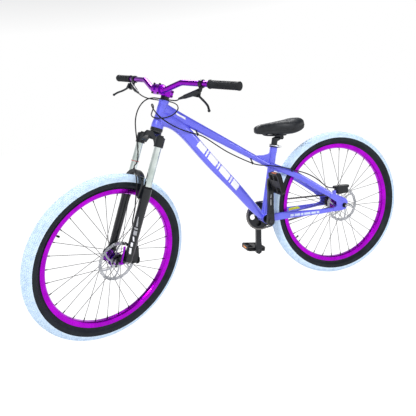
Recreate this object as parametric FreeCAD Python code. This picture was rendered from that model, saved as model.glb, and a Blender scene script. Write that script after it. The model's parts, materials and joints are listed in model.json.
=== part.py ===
"""A dirt-jump style bicycle with a hydroformed frame, a suspension fork, disc brakes and one gear.

Millimetres. The origin is where the rear tyre meets the ground, in the frame's middle plane.
+X is forward, +Y is the rider's left and +Z is up. The handlebar is modelled turned to the left.
"""
import FreeCAD, Part
import math
import os

# ---- driving dimensions -------------------------------------------------------------------
TYRE_R = 343.0            # outside radius of both 26 inch tyres
TYRE_SECTION_R = 28.5     # radius of the tyre's round section
RIM_R = 285.5             # top of the rim's flanges
RIM_INNER_R = 264.5
WHEELBASE = 1066.6        # with the wheel straight ahead
HEAD_ANGLE = 65.58        # degrees from the ground
FORK_OFFSET = 48.1        # front axle ahead of the steering axis
STEER = 26.8              # degrees that the handlebar is turned to the left at rest
HEAD_LOW = 549.5          # ends of the head tube, along the steering axis from its foot
HEAD_HIGH = 665.0
STEERER_R = 14.3
BAR_R = 11.1
BAR_CLAMP_R = 15.9
BAR_HEIGHT = 699.0        # handlebar clamp, along the steering axis
BAR_AHEAD = 39.2          # handlebar clamp ahead of the steering axis
BAR_HALF = 396.0
BB_Z = 351.4              # height of the crank axis
SEAT_ANGLE = 73.8
SEAT_TUBE_TOP = 333.0     # along the seat tube from the crank axis
SEAT_TUBE_R = 15.9
POST_R = 13.6
CRANK = 175.0             # crank axis to pedal axis
CRANK_LEAN = 7.3          # degrees that the left crank's top end leans back
CHAINLINE = 48.0
CHAIN_PITCH = 12.7
LINKS = 84
RING_TEETH = 32
COG_TEETH = 16
ROLLER_R = 3.85
FRONT_OLD = 50.0          # half the width over the front hub's locknuts
REAR_OLD = 67.5
DROPOUT = 7.0             # thickness of the frame's dropouts
AXLE_HALF = 88.0          # the rear axle's ends stand out past its nuts
ROTOR_R = 80.0
SPOKES = 32
SPOKE_R = 1.0
LEG_Y = 65.0              # fork leg beside the steering axis
LEG_X = 17.0              # fork leg ahead of the steering axis
STANCHION_R = 15.0
CROWN_UNDER = 474.0       # underside of the crown's sockets, along the steering axis
SEAL_TOP = 312.0
TRAVEL = 80.0
LEVER_Y = 226.0           # brake lever clamps beside the stem
LEVER_ROLL = 9.0          # degrees that each lever is turned about the bar
LEVER_PIN_R = 2.0
HOSE_R = 2.5
FRONT_CALIPER_ANGLE = 160.0    # degrees around the wheel's axle, from straight ahead
REAR_CALIPER_ANGLE = 94.0
HOSE_PORT_Y = 6.0         # hose port beside the rotor's inner face
PORT_END = 46.0           # end of the port, along the rotor from the caliper's middle

vec = FreeCAD.Vector
ORIGIN = vec(0, 0, 0)
X, Y, Z = vec(1, 0, 0), vec(0, 1, 0), vec(0, 0, 1)
LEFT, RIGHT = 1, -1
parts = {}
LEVER_PIVOT = vec(30, 224, 697)        # the left lever's pivot, in the steering's own frame
LEVER_NOSE = vec(34, 156, 683)         # the end of its master cylinder
LEVER_PORT = vec(36, 127, 673)         # where its hose leaves


# ---- shared shapes ------------------------------------------------------------------------
def rod(start, end, radius):
    return Part.makeCylinder(radius, (end - start).Length, start, end - start)


def tube(start, end, outer, inner):
    along = (end - start).normalize()
    bore = rod(start - along, end + along, inner)
    return rod(start, end, outer).cut(bore)


def cone(start, end, start_radius, end_radius):
    return Part.makeCone(start_radius, end_radius, (end - start).Length, start, end - start)


def block(low, high):
    return Part.makeBox(high.x - low.x, high.y - low.y, high.z - low.z, low)


def fuse(*shapes):
    return shapes[0].multiFuse(list(shapes[1:])).removeSplitter()


def group(shapes):
    return Part.makeCompound(list(shapes))


def moved(shape, offset):
    copy = shape.copy()
    copy.translate(offset)
    return copy


def turned(shape, centre, axis, angle):
    copy = shape.copy()
    copy.rotate(centre, axis, angle)
    return copy


def placed(shape, place):
    copy = shape.copy()
    copy.Placement = place.multiply(copy.Placement)
    return copy


def mirrored(shape):
    return shape.mirror(ORIGIN, Y)


def polygon(points):
    return Part.makePolygon(list(points) + [points[0]])


def plate(outline, y_low, y_high):
    """A flat plate: outline is (x, z) points, and the plate lies between two values of y."""
    face = Part.Face(polygon([vec(x, y_low, z) for x, z in outline]))
    return face.extrude(vec(0, y_high - y_low, 0))


def slab(outline, x_low, x_high):
    """A flat plate across the bicycle: outline is (y, z) points."""
    face = Part.Face(polygon([vec(x_low, y, z) for y, z in outline]))
    return face.extrude(vec(x_high - x_low, 0, 0))


def spun_y(outline):
    """Turns an outline of (y, radius) points about the Y axis."""
    return Part.Face(polygon([vec(radius, y, 0) for y, radius in outline])).revolve(ORIGIN, Y, 360)


def spun_z(outline):
    """Turns an outline of (radius, z) points about the Z axis."""
    return Part.Face(polygon([vec(radius, 0, z) for radius, z in outline])).revolve(ORIGIN, Z, 360)


def hoop(centre, up, half_up, half_side, squareness=2.5):
    """A closed rounded section whose flat directions are up and Y."""
    points = []
    for k in range(16):
        angle = 2 * math.pi * k / 16
        c, s = math.cos(angle), math.sin(angle)
        a = math.copysign(abs(c) ** (2 / squareness), c) * half_side
        b = math.copysign(abs(s) ** (2 / squareness), s) * half_up
        points.append(centre + Y * a + up * b)
    curve = Part.BSplineCurve()
    curve.interpolate(Points=points, PeriodicFlag=True)
    return Part.Wire(curve.toShape())


def hydroformed(sections, wall=0.0):
    """A smooth tube through sections of (centre, up, half_up, half_side), made thinner by wall."""
    wires = [hoop(c, u, high - wall, wide - wall) for c, u, high, wide in sections]
    return Part.makeLoft(wires, True, False)


def path(points, radii=None):
    """Straight runs joined by tangent arcs, each as large as its two runs allow."""
    edges, start, used = [], points[0], []
    for i in range(1, len(points) - 1):
        before, here, after = points[i - 1], points[i], points[i + 1]
        into = (here - before).normalize()
        out = (after - here).normalize()
        turn = into.getAngle(out)
        shorter = min((here - before).Length, (after - here).Length)
        radius = radii[i - 1] if radii else 0.45 * shorter / math.tan(turn / 2)
        setback = radius * math.tan(turn / 2)
        first, last = here - into * setback, here + out * setback
        inward = (out - into).normalize()
        middle = here + inward * (radius / math.cos(turn / 2) - radius)
        edges += [Part.LineSegment(start, first).toShape(), Part.Arc(first, middle, last).toShape()]
        start = last
        used.append(radius)
    edges.append(Part.LineSegment(start, points[-1]).toShape())
    return Part.Wire(edges), used


def swept(points, radius, radii=None):
    """A round bar or hose along a path. Returns the solid, its length and its bend radii."""
    wire, used = path(points, radii)
    along = points[1] - points[0]
    section = Part.Wire(Part.Circle(points[0], along, radius).toShape())
    return wire.makePipeShell([section], True, False), wire.Length, used


def keep(name, shape):
    parts[name] = shape


# ---- places worked out from the driving dimensions --------------------------------------------
lean = math.radians(HEAD_ANGLE)
AXIS = vec(-math.cos(lean), 0, math.sin(lean))
AHEAD = vec(math.sin(lean), 0, math.cos(lean))
FOOT = vec(WHEELBASE, 0, TYRE_R) - AHEAD * FORK_OFFSET
HEAD = FreeCAD.Placement(FOOT, FreeCAD.Rotation(Y, HEAD_ANGLE - 90))
STEERED = HEAD.multiply(FreeCAD.Placement(ORIGIN, FreeCAD.Rotation(Z, STEER)))
REAR_AXLE = vec(0, 0, TYRE_R)
FRONT_AXLE = vec(FORK_OFFSET, 0, 0)
FRONT_WHEEL = STEERED.multiply(FreeCAD.Placement(FRONT_AXLE, FreeCAD.Rotation()))
REAR_WHEEL = FreeCAD.Placement(REAR_AXLE, FreeCAD.Rotation())
FRONT_ROTOR_Y = FRONT_OLD - 10.4
REAR_ROTOR_Y = REAR_OLD - 15.3


def head_point(ahead, y, along):
    return HEAD.multVec(vec(ahead, y, along))


def pitch_radius(teeth):
    return CHAIN_PITCH / (2 * math.sin(math.pi / teeth))


# ---- chain drive --------------------------------------------------------------------------
def next_pin(here, runs):
    """The point one pitch further round the chain's loop, by stepping along it."""
    low, high = here + CHAIN_PITCH, here + CHAIN_PITCH * 1.01
    start = loop_point(here, runs)
    for _ in range(40):
        middle = (low + high) / 2
        if (loop_point(middle, runs) - start).Length < CHAIN_PITCH:
            low = middle
        else:
            high = middle
    return (low + high) / 2


def loop_runs(distance):
    """The loop as seen with the cog at the origin and the ring ahead: its four stretches."""
    big, small = pitch_radius(RING_TEETH), pitch_radius(COG_TEETH)
    tilt = math.asin((big - small) / distance)
    straight = math.sqrt(distance ** 2 - (big - small) ** 2)
    ring_wrap, cog_wrap = math.pi + 2 * tilt, math.pi - 2 * tilt
    return distance, big, small, tilt, straight, ring_wrap, cog_wrap


def loop_point(s, runs):
    """The loop's point s along it, starting where it leaves the ring's underside going forward."""
    distance, big, small, tilt, straight, ring_wrap, cog_wrap = runs
    total = big * ring_wrap + small * cog_wrap + 2 * straight
    s %= total
    if s < big * ring_wrap:
        angle = -math.pi / 2 - tilt + s / big
        return vec(distance + big * math.cos(angle), 0, big * math.sin(angle))
    s -= big * ring_wrap
    up = math.pi / 2 + tilt
    if s < straight:
        leave = vec(distance + big * math.cos(up), 0, big * math.sin(up))
        return leave + vec(-math.sin(up), 0, math.cos(up)) * s
    s -= straight
    if s < small * cog_wrap:
        angle = up + s / small
        return vec(small * math.cos(angle), 0, small * math.sin(angle))
    s -= small * cog_wrap
    down = up + cog_wrap
    leave = vec(small * math.cos(down), 0, small * math.sin(down))
    return leave + vec(-math.sin(down), 0, math.cos(down)) * s


def pins_for(distance):
    """The chain's pins for one distance between the axles, and how far it misses closing."""
    runs = loop_runs(distance)
    total = runs[1] * runs[5] + runs[2] * runs[6] + 2 * runs[4]
    places, here = [], 0.0
    for _ in range(LINKS):
        places.append(loop_point(here, runs))
        here = next_pin(here, runs)
    return places, here - total


def chain_closed():
    """The distance between the axles that takes up the chain exactly, and the pins there."""
    low, high = 370.0, 390.0
    for _ in range(40):
        middle = (low + high) / 2
        pins, miss = pins_for(middle)
        if miss > 0:
            low = middle
        else:
            high = middle
    return middle, pins


AXLE_DISTANCE, CHAIN_PINS = chain_closed()
BB_RISE = BB_Z - TYRE_R
BB = vec(math.sqrt(AXLE_DISTANCE ** 2 - BB_RISE ** 2), 0, BB_Z)
CHAIN_SLOPE = math.atan2(BB_RISE, BB.x)
seat_lean = math.radians(SEAT_ANGLE)
SEAT_AXIS = vec(-math.cos(seat_lean), 0, math.sin(seat_lean))
SEAT_TOP = BB + SEAT_AXIS * SEAT_TUBE_TOP
print(f"axle to crank {AXLE_DISTANCE:.2f} mm with {LINKS} links")


def toothed(teeth, first_gap):
    """The outline of a sprocket: seats for the rollers joined by tapered teeth, in the XZ plane."""
    radius, step, seat = pitch_radius(teeth), 2 * math.pi / teeth, ROLLER_R + 0.2
    reach, tip, half_tip = math.radians(70), radius + 3.2, 1.1

    def at(angle, radial, tangential):
        out = vec(math.cos(angle), 0, math.sin(angle))
        return out * radial + vec(-out.z, 0, out.x) * tangential

    edges, previous = [], None
    for k in range(teeth + 1):
        gap = first_gap + k * step
        low = at(gap, radius - seat * math.cos(reach), -seat * math.sin(reach))
        bottom = at(gap, radius - seat, 0)
        high = at(gap, radius - seat * math.cos(reach), seat * math.sin(reach))
        tip_in = at(gap - step / 2, tip, half_tip)
        tip_out = at(gap + step / 2, tip, -half_tip)
        if previous:
            edges.append(Part.LineSegment(previous, tip_in).toShape())
            edges.append(Part.LineSegment(tip_in, low).toShape())
        if k < teeth:
            edges.append(Part.Arc(low, bottom, high).toShape())
            edges.append(Part.LineSegment(high, tip_out).toShape())
        previous = tip_out
    return Part.Face(Part.Wire(edges))


def sprocket(teeth, first_gap, thickness):
    face = toothed(teeth, first_gap)
    return moved(face, vec(0, -thickness / 2, 0)).extrude(vec(0, thickness, 0))


def link_plate(half_height, waist, hole, y_low, y_high):
    """One side plate, from the pin at the origin to the pin one pitch along X."""
    ends = [Part.makeCylinder(half_height, y_high - y_low, vec(x, y_low, 0), Y) for x in (0, CHAIN_PITCH)]
    middle = block(vec(0, y_low, -waist), vec(CHAIN_PITCH, y_high, waist))
    whole = fuse(*ends, middle)
    if hole:
        bores = [Part.makeCylinder(hole, 9, vec(x, y_low - 1, 0), Y) for x in (0, CHAIN_PITCH)]
        whole = whole.cut(group(bores))
    return whole


def inner_link():
    sides = [link_plate(4.1, 3.2, 1.95, 1.8, 2.8), link_plate(4.1, 3.2, 1.95, -2.8, -1.8)]
    rollers = [tube(vec(x, -1.8, 0), vec(x, 1.8, 0), ROLLER_R, 1.95) for x in (0, CHAIN_PITCH)]
    return fuse(*sides, *rollers)


def outer_link():
    sides = [link_plate(4.0, 3.0, 0, 2.95, 3.95), link_plate(4.0, 3.0, 0, -3.95, -2.95)]
    pins = [rod(vec(x, -4.4, 0), vec(x, 4.4, 0), 1.8) for x in (0, CHAIN_PITCH)]
    return fuse(*sides, *pins)


def drive_placement(point):
    """From the loop's own plane to the bicycle: the cog at the rear axle, the ring at the cranks."""
    turned_point = FreeCAD.Rotation(Y, -math.degrees(CHAIN_SLOPE)).multVec(point)
    return turned_point + REAR_AXLE - Y * CHAINLINE


def build_chain():
    pins = [drive_placement(p) for p in CHAIN_PINS]
    kinds = [inner_link(), outer_link()]
    links = []
    for k, here in enumerate(pins):
        run = pins[(k + 1) % LINKS] - here
        angle = math.degrees(math.atan2(run.z, run.x))
        link = turned(kinds[k % 2], ORIGIN, Y, -angle)
        links.append(moved(link, here))
    keep("chain", group(links))
    return pins


def gap_angle(pin, centre):
    return math.atan2(pin.z - centre.z, pin.x - centre.x)


def build_sprockets(pins):
    ring_pin = min(pins, key=lambda p: abs((p - BB - Y * -CHAINLINE).Length - pitch_radius(RING_TEETH)))
    cog_pin = min(pins, key=lambda p: abs((p - REAR_AXLE - Y * -CHAINLINE).Length - pitch_radius(COG_TEETH)))
    ring = sprocket(RING_TEETH, gap_angle(ring_pin, BB), 3.0)
    windows = [turned(Part.makeCylinder(13, 8, vec(38, -4, 0), Y), ORIGIN, Y, 72 * k) for k in range(5)]
    ring = ring.cut(group(windows)).cut(Part.makeCylinder(17.0, 8, vec(0, -4, 0), Y))
    keep("chainring", moved(ring, BB - Y * CHAINLINE))

    cog = sprocket(COG_TEETH, gap_angle(cog_pin, REAR_AXLE), 3.0)
    driver = fuse(cog, Part.makeCylinder(24, 9, vec(0, -4.5, 0), Y),
                  Part.makeCylinder(17.5, CHAINLINE - 30.6 + 10.2, vec(0, -10.2, 0), Y))
    driver = driver.cut(Part.makeCylinder(9.4, 60, vec(0, -30, 0), Y))
    keep("rear_sprocket", moved(driver, REAR_AXLE - Y * CHAINLINE))


# ---- wheels -------------------------------------------------------------------------------
def rim_profile():
    """The rim's section as (y, radius): a double wall with a central well and two flanges."""
    half = [(5, 273), (6.5, 276), (12.4, 277), (13.6, RIM_R), (15.5, RIM_R), (15.5, 277), (13, 268)]
    half.append((7, RIM_INNER_R))
    return half + [(-y, r) for y, r in reversed(half)]


def rim_cavity():
    half = [(6, 270.6), (7.5, 273.6), (11.3, 274.3), (12.4, 270.4), (6.6, 266.8)]
    return half + [(-y, r) for y, r in reversed(half)]


def build_rim(valve_angle):
    rim = spun_y(rim_profile()).cut(spun_y(rim_cavity()))
    direction = vec(math.cos(valve_angle), 0, math.sin(valve_angle))
    return rim.cut(rod(direction * 250, direction * 290, 4.2))


def build_tyre():
    """A round casing whose beads sit between the rim's flanges, open towards the rim."""
    middle = TYRE_R - TYRE_SECTION_R
    reach = math.radians(152)
    root_y, root_r = TYRE_SECTION_R * math.sin(reach), middle + TYRE_SECTION_R * math.cos(reach)
    inner = TYRE_SECTION_R - 3.2
    lip_y, lip_r = inner * math.sin(reach), middle + inner * math.cos(reach)
    outer_arc = Part.Arc(vec(root_r, -root_y, 0), vec(TYRE_R, 0, 0), vec(root_r, root_y, 0)).toShape()
    inner_arc = Part.Arc(vec(lip_r, lip_y, 0), vec(middle + inner, 0, 0), vec(lip_r, -lip_y, 0)).toShape()
    bead = [vec(root_r, root_y, 0), vec(285, 12.6, 0), vec(278.3, 11.9, 0), vec(278.3, 8.6, 0), vec(lip_r, lip_y, 0)]
    far_bead = [vec(p.x, -p.y, 0) for p in reversed(bead)]
    runs = [Part.makePolygon(bead), Part.makePolygon(far_bead)]
    face = Part.Face(Part.Wire([outer_arc, *runs[0].Edges, inner_arc, *runs[1].Edges]))
    return face.revolve(ORIGIN, Y, 360)


def build_inner_tube(valve_angle):
    middle, outside = TYRE_R - TYRE_SECTION_R - 0.5, TYRE_SECTION_R - 4.4
    skin = Part.makeTorus(middle, outside, ORIGIN, Y).cut(Part.makeTorus(middle, outside - 1.4, ORIGIN, Y))
    direction = vec(math.cos(valve_angle), 0, math.sin(valve_angle))
    stem = rod(direction * 251, direction * (middle - outside + 0.7), 3.0)
    return fuse(skin, stem, rod(direction * 248, direction * 257, 3.8))


def spoke(hub_angle, rim_angle, flange_y, side, flange_r):
    """A straight spoke with its elbow through the flange and its nipple at the rim."""
    def on_wheel(radius, angle, y):
        return vec(radius * math.cos(angle), y, radius * math.sin(angle))

    elbow = on_wheel(flange_r, hub_angle, flange_y + side * (2.0 + SPOKE_R))
    rim_end = on_wheel(RIM_INNER_R + 1.2, rim_angle, 0)
    towards = (rim_end - elbow).normalize()
    wire = rod(elbow, rim_end, SPOKE_R)
    shank = rod(on_wheel(flange_r, hub_angle, flange_y - side * 2.4), elbow, SPOKE_R)
    nipple = rod(rim_end - towards * 12, rim_end, 2.0)
    return fuse(wire, shank, Part.makeSphere(SPOKE_R, elbow), nipple)


def build_spokes(flanges):
    """Each flange's spokes lean both ways from alternate holes and cross three others."""
    per_side = SPOKES // 2
    step, solids = 2 * math.pi / per_side, []
    for index, (flange_y, flange_r) in enumerate(flanges):
        start = index * step / 2
        patterns = [(0, 3 * step, 1), (step, -3 * step, -1)]
        for offset, lead, face in patterns:
            side = face * math.copysign(1, flange_y)
            first = spoke(start + offset, start + offset + lead, flange_y, side, flange_r)
            solids += [turned(first, ORIGIN, Y, 360 / (per_side / 2) * k) for k in range(per_side // 2)]
    return group(solids)


def build_rotor(y_low):
    """A drilled disc with a wavy carrier, and its six bolts."""
    y_high = y_low + 2.0
    track = tube(vec(0, y_low, 0), vec(0, y_high, 0), ROTOR_R, ROTOR_R - 15)
    carrier = tube(vec(0, y_low, 0), vec(0, y_high, 0), 27.5, 17.5)
    arm = plate([(24, -4.5), (68, 16), (66, 25), (22, 5)], y_low, y_high)
    disc = fuse(track, carrier, *[turned(arm, ORIGIN, Y, 60 * k) for k in range(6)])
    holes = []
    for k in range(24):
        for row, radius in enumerate((69.5, 75.0)):
            angle = math.radians(15 * k + 7.5 * row)
            holes.append(Part.makeCylinder(2.2, 4, vec(radius * math.cos(angle), y_low - 1, radius * math.sin(angle)), Y))
    disc = disc.cut(group(holes))
    heads = []
    for k in range(6):
        angle = math.radians(60 * k + 30)
        heads.append(Part.makeCylinder(3.8, 2.4, vec(22 * math.cos(angle), y_high, 22 * math.sin(angle)), Y))
    return group([disc, *heads])


def build_hub(outline, bores):
    hub = spun_y(outline)
    for y_low, y_high, radius in bores:
        hub = hub.cut(Part.makeCylinder(radius, y_high - y_low, vec(0, y_low, 0), Y))
    return hub


def bearing(y_low, y_high, outer, inner):
    return tube(vec(0, y_low, 0), vec(0, y_high, 0), outer, inner)


def build_front_wheel():
    left, right, rotor_y = 22.0, -33.0, FRONT_OLD - 10.4
    outline = [(rotor_y, 10), (rotor_y, 26.5), (rotor_y - 5, 26.5), (rotor_y - 9, 17), (left + 2, 17),
               (left + 2, 29), (left - 2, 29), (left - 2, 17), (left - 8, 13.5), (right + 8, 13.5),
               (right + 2, 17), (right + 2, 25), (right - 2, 25), (right - 2, 17), (right - 8, 15), (right - 8, 10)]
    hub = build_hub(outline, [(rotor_y - 9, rotor_y + 1, 13), (right - 9, right, 13)])
    axle = FreeCAD.Placement(FRONT_AXLE, FreeCAD.Rotation())
    place = STEERED.multiply(axle)
    valve = math.radians(16.9)    # midway between two spokes
    keep("front_hub", placed(hub, place))
    rings = [bearing(rotor_y - 8.5, rotor_y - 0.5, 12.95, 7.55), bearing(right - 8, right - 0.2, 12.95, 7.55)]
    keep("front_hub_bearings", placed(group(rings), place))
    keep("front_rim", placed(build_rim(valve), place))
    keep("front_tyre", placed(build_tyre(), place))
    keep("front_inner_tube", placed(build_inner_tube(valve), place))
    keep("front_spokes", placed(build_spokes([(left, 26.0), (right, 22.0)]), place))
    keep("front_rotor", placed(build_rotor(rotor_y), place))


def build_rear_wheel():
    left, right, rotor_y = 33.0, -21.0, REAR_OLD - 15.3
    outline = [(rotor_y, 9), (rotor_y, 26.5), (rotor_y - 5, 26.5), (rotor_y - 10, 19), (left + 2, 19),
               (left + 2, 30), (left - 2, 30), (left - 2, 19), (left - 8, 16), (right + 6, 16),
               (right + 2, 19), (right + 2, 30), (right - 2, 30), (right - 2, 19), (right - 8, 19), (right - 8, 9)]
    hub = build_hub(outline, [(rotor_y - 9, rotor_y + 1, 13), (right - 9, right, 13)])
    place = FreeCAD.Placement(REAR_AXLE, FreeCAD.Rotation())
    valve = math.radians(-28.1)    # midway between two spokes
    keep("rear_hub", placed(hub, place))
    rings = [bearing(rotor_y - 8.5, rotor_y - 0.5, 12.95, 5.06), bearing(right - 8, right - 0.2, 12.95, 5.06)]
    keep("rear_hub_bearings", placed(group(rings), place))
    keep("rear_rim", placed(build_rim(valve), place))
    keep("rear_tyre", placed(build_tyre(), place))
    keep("rear_inner_tube", placed(build_inner_tube(valve), place))
    keep("rear_spokes", placed(build_spokes([(left, 27.0), (right, 27.0)]), place))
    keep("rear_rotor", placed(build_rotor(rotor_y), place))

    locknuts = [rod(vec(0, rotor_y + 2.9, 0), vec(0, REAR_OLD, 0), 8.5),
                rod(vec(0, -REAR_OLD, 0), vec(0, -CHAINLINE - 10.6, 0), 8.5)]
    axle = fuse(rod(vec(0, -AXLE_HALF, 0), vec(0, AXLE_HALF, 0), 5.0), *locknuts)
    keep("rear_axle", moved(axle, REAR_AXLE))
    nuts = []
    for side in (LEFT, RIGHT):
        face = REAR_OLD + DROPOUT + 0.2
        washer = tube(vec(0, side * face, 0), vec(0, side * (face + 2), 0), 11, 5.05)
        flats = [vec(8.7 * math.cos(math.radians(60 * k)), side * (face + 2), 8.7 * math.sin(math.radians(60 * k)))
                 for k in range(6)]
        hexagon = Part.Face(polygon(flats)).extrude(vec(0, side * 7, 0))
        hexagon = hexagon.cut(rod(vec(0, side * 60, 0), vec(0, side * 90, 0), 5.05))
        nuts.append(fuse(washer, hexagon))
    keep("rear_axle_nuts", moved(group(nuts), REAR_AXLE))


# ---- frame --------------------------------------------------------------------------------
DOWN_ALONG = vec(0.5563, 0, 0.8310)       # the down tube's run, from the cranks to the head
DOWN_UP = vec(-0.8310, 0, 0.5563)
TOP_UP = vec(-0.5853, 0, 0.8108)


def down_tube_sections():
    """(distance along the tube, upper edge, lower edge, half width), then the end inside the head tube."""
    rows = [(6, 13, 18, 17), (144, 16.8, 28.5, 20), (300, 17, 34.5, 22), (440, 17, 36.5, 24), (535, 17.5, 37, 24)]
    sections = []
    for along, above, below, half_wide in rows:
        centre = BB + DOWN_ALONG * along + DOWN_UP * ((above - below) / 2)
        sections.append((centre, DOWN_UP, (above + below) / 2, half_wide))
    sections.append((head_point(-2, 0, HEAD_LOW + 42), AXIS, 38, 19))
    return sections


def top_tube_sections():
    return [(vec(318, 0, 580), TOP_UP, 12.5, 17), (vec(343, 0, 597.6), TOP_UP, 12.5, 17),
            (vec(500, 0, 711), TOP_UP, 16.5, 17), (vec(650.6, 0, 819.8), TOP_UP, 19.5, 17),
            (head_point(-2, 0, HEAD_LOW + 84), AXIS, 25, 17)]


def build_main_frame():
    head = spun_z([(17.2, HEAD_LOW), (25, HEAD_LOW), (25.5, HEAD_LOW + 13), (22.5, HEAD_LOW + 34),
                   (20.8, HEAD_LOW + 62), (20.3, HEAD_HIGH - 14), (21.2, HEAD_HIGH), (17.2, HEAD_HIGH)])
    head = placed(head, HEAD)
    seat_tube = fuse(rod(BB, SEAT_TOP, SEAT_TUBE_R), rod(SEAT_TOP - SEAT_AXIS * 34, SEAT_TOP, SEAT_TUBE_R + 1.2))
    shell = rod(BB - Y * 34, BB + Y * 34, 21)
    gusset = plate([(384, 640), (345, 635), (318, 637), (307, 645), (302, 660), (290, 655), (312, 588)], -5, 5)
    down, top = hydroformed(down_tube_sections()), hydroformed(top_tube_sections())
    whole = down.fuse(top).fuse(seat_tube).fuse(shell).fuse(gusset).fuse(head)
    bores = [rod(head_point(0, 0, HEAD_LOW - 5), head_point(0, 0, HEAD_HIGH + 5), 17.2),
             rod(BB - Y * 40, BB + Y * 40, 17.5),
             rod(BB + SEAT_AXIS * 60, SEAT_TOP + SEAT_AXIS * 5, POST_R + 0.08)]
    down_inside = hydroformed(down_tube_sections()[:5], 2.2)
    top_inside = hydroformed(top_tube_sections()[1:4], 2.0)
    for bore in [*bores, down_inside, top_inside]:
        whole = whole.cut(bore)
    keep("main_frame", whole)


def stay(sections, wall):
    outer = hydroformed(sections)
    return outer.cut(hydroformed(sections[1:-1], wall))


def seat_stay():
    up = vec(-0.6, 0, 0.8)
    return stay([(vec(326, 14, 588), up, 14, 7), (vec(290, 26, 567), up, 14, 8), (vec(234, 44, 534), up, 14, 8),
                 (vec(105, 59, 438), up, 13.5, 8), (vec(62, 67, 404), up, 12.5, 6), (vec(40, 71, 388), up, 11, 3.4)], 2.0)


def chain_stay():
    return stay([(vec(366, 31, 352), Z, 14, 5), (vec(318, 37.6, 352), Z, 17, 5.4), (vec(262, 45, 349), Z, 15.5, 6.5),
                 (vec(150, 60, 339), Z, 12, 6.5), (vec(62, 68, 333.5), Z, 8.8, 5), (vec(30, 71, 332.5), Z, 7.5, 3.4)], 1.8)


def dropout():
    """The plate that joins the stays at the axle, with a slot that opens to the rear."""
    inside, outside = REAR_OLD + 0.1, REAR_OLD + DROPOUT
    outline = [(66, 412), (40, 404), (8, 386), (-14, 371), (-20, 356), (-16, 336), (-4, 325), (14, 322),
               (60, 325), (60, 341), (42, 345), (37, 352), (40, 368), (70, 392)]
    whole = plate(outline, inside, outside)
    slot = fuse(rod(REAR_AXLE + Y * 60, REAR_AXLE + Y * 80, 5.1), block(vec(-30, 60, TYRE_R - 5.1), vec(0, 80, TYRE_R + 5.1)))
    recess = [plate([(26, 392), (4, 379), (5, 375), (28, 388)], outside - 2.5, outside + 1),
              plate([(24, 377), (4, 366), (5, 362), (25, 373)], outside - 2.5, outside + 1)]
    return whole.cut(slot).cut(group(recess))


def build_rear_triangle():
    """Stays and dropouts, which end on the seat tube and the crank shell."""
    side = seat_stay().fuse(chain_stay()).fuse(dropout())
    bridge = rod(vec(290, -24, 567), vec(290, 24, 567), 6)
    tabs = [plate([(34, 396), (46, 402), (46, 420), (34, 420)], 55.5, 67.6).fuse(
            plate([(30, 392), (50, 404), (50, 396), (30, 384)], 55.5, 72))]
    whole = side.fuse(mirrored(side)).fuse(bridge).fuse(tabs[0])
    keep("rear_triangle", whole.cut(parts["main_frame"]).cut(rod(BB - Y * 40, BB + Y * 40, 21)))
    hollow = rod(BB, SEAT_TOP, SEAT_TUBE_R)
    keep("rear_triangle", parts["rear_triangle"].cut(hollow))


def build_headset():
    low_cup = spun_z([(14.38, HEAD_LOW - 13), (25.4, HEAD_LOW - 13), (25.4, HEAD_LOW), (17.15, HEAD_LOW),
                      (17.15, HEAD_LOW + 11), (14.38, HEAD_LOW + 11)])
    high_cup = spun_z([(14.38, HEAD_HIGH - 11), (17.15, HEAD_HIGH - 11), (17.15, HEAD_HIGH), (21.4, HEAD_HIGH),
                       (19.5, HEAD_HIGH + 5), (14.38, HEAD_HIGH + 5)])
    keep("headset_bearings", placed(group([low_cup, high_cup]), HEAD))


def build_bottom_bracket():
    cups = []
    for side in (LEFT, RIGHT):
        barrel = tube(vec(0, side * 20, 0), vec(0, side * 34, 0), 17.4, 14.0)
        flange = tube(vec(0, side * 34, 0), vec(0, side * 37, 0), 19.5, 10.5)
        cups.append(fuse(barrel, flange))
        cups.append(tube(vec(0, side * 21, 0), vec(0, side * 33.9, 0), 13.95, 8.56))
    keep("bottom_bracket", moved(group(cups), BB))


def build_seat_collar():
    """A split ring over the seat tube's top, its binder bolt behind it, and the release lever."""
    low, high = SEAT_TOP - SEAT_AXIS * 10, SEAT_TOP + SEAT_AXIS * 3
    behind = vec(-math.sin(seat_lean), 0, -math.cos(seat_lean))
    back = SEAT_TOP + behind * 23.5 - SEAT_AXIS * 3.5
    ring = rod(low, high, SEAT_TUBE_R + 4.5)
    ears = rod(back - Y * 11, back + Y * 11, 5.5)
    collar = fuse(ring, ears)
    collar = collar.cut(rod(low - SEAT_AXIS, SEAT_TOP + SEAT_AXIS * 0.1, SEAT_TUBE_R + 1.25))
    collar = collar.cut(rod(low, high + SEAT_AXIS, POST_R + 0.35)).cut(rod(back - Y * 30, back + Y * 30, 2.55))
    collar = collar.cut(block(SEAT_TOP + behind * 14 - Y * 1 - Z * 40 - X * 40, SEAT_TOP + behind * 14 + Y * 1 + Z * 40))
    bolt = fuse(rod(back - Y * 16, back - Y * 11.1, 5.5), rod(back - Y * 16, back + Y * 11.1, 2.5))
    keep("seat_collar", group([collar, bolt]))
    pivot = back + Y * 17
    cam = rod(pivot - SEAT_AXIS * 5, pivot + SEAT_AXIS * 5, 5.6)
    handle, _, _ = swept([pivot, pivot + vec(14, 7, 4), pivot + vec(34, 8, 11), pivot + vec(52, 3, 16)], 3.0)
    keep("seat_release_lever", fuse(cam, handle))
    return pivot


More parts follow.
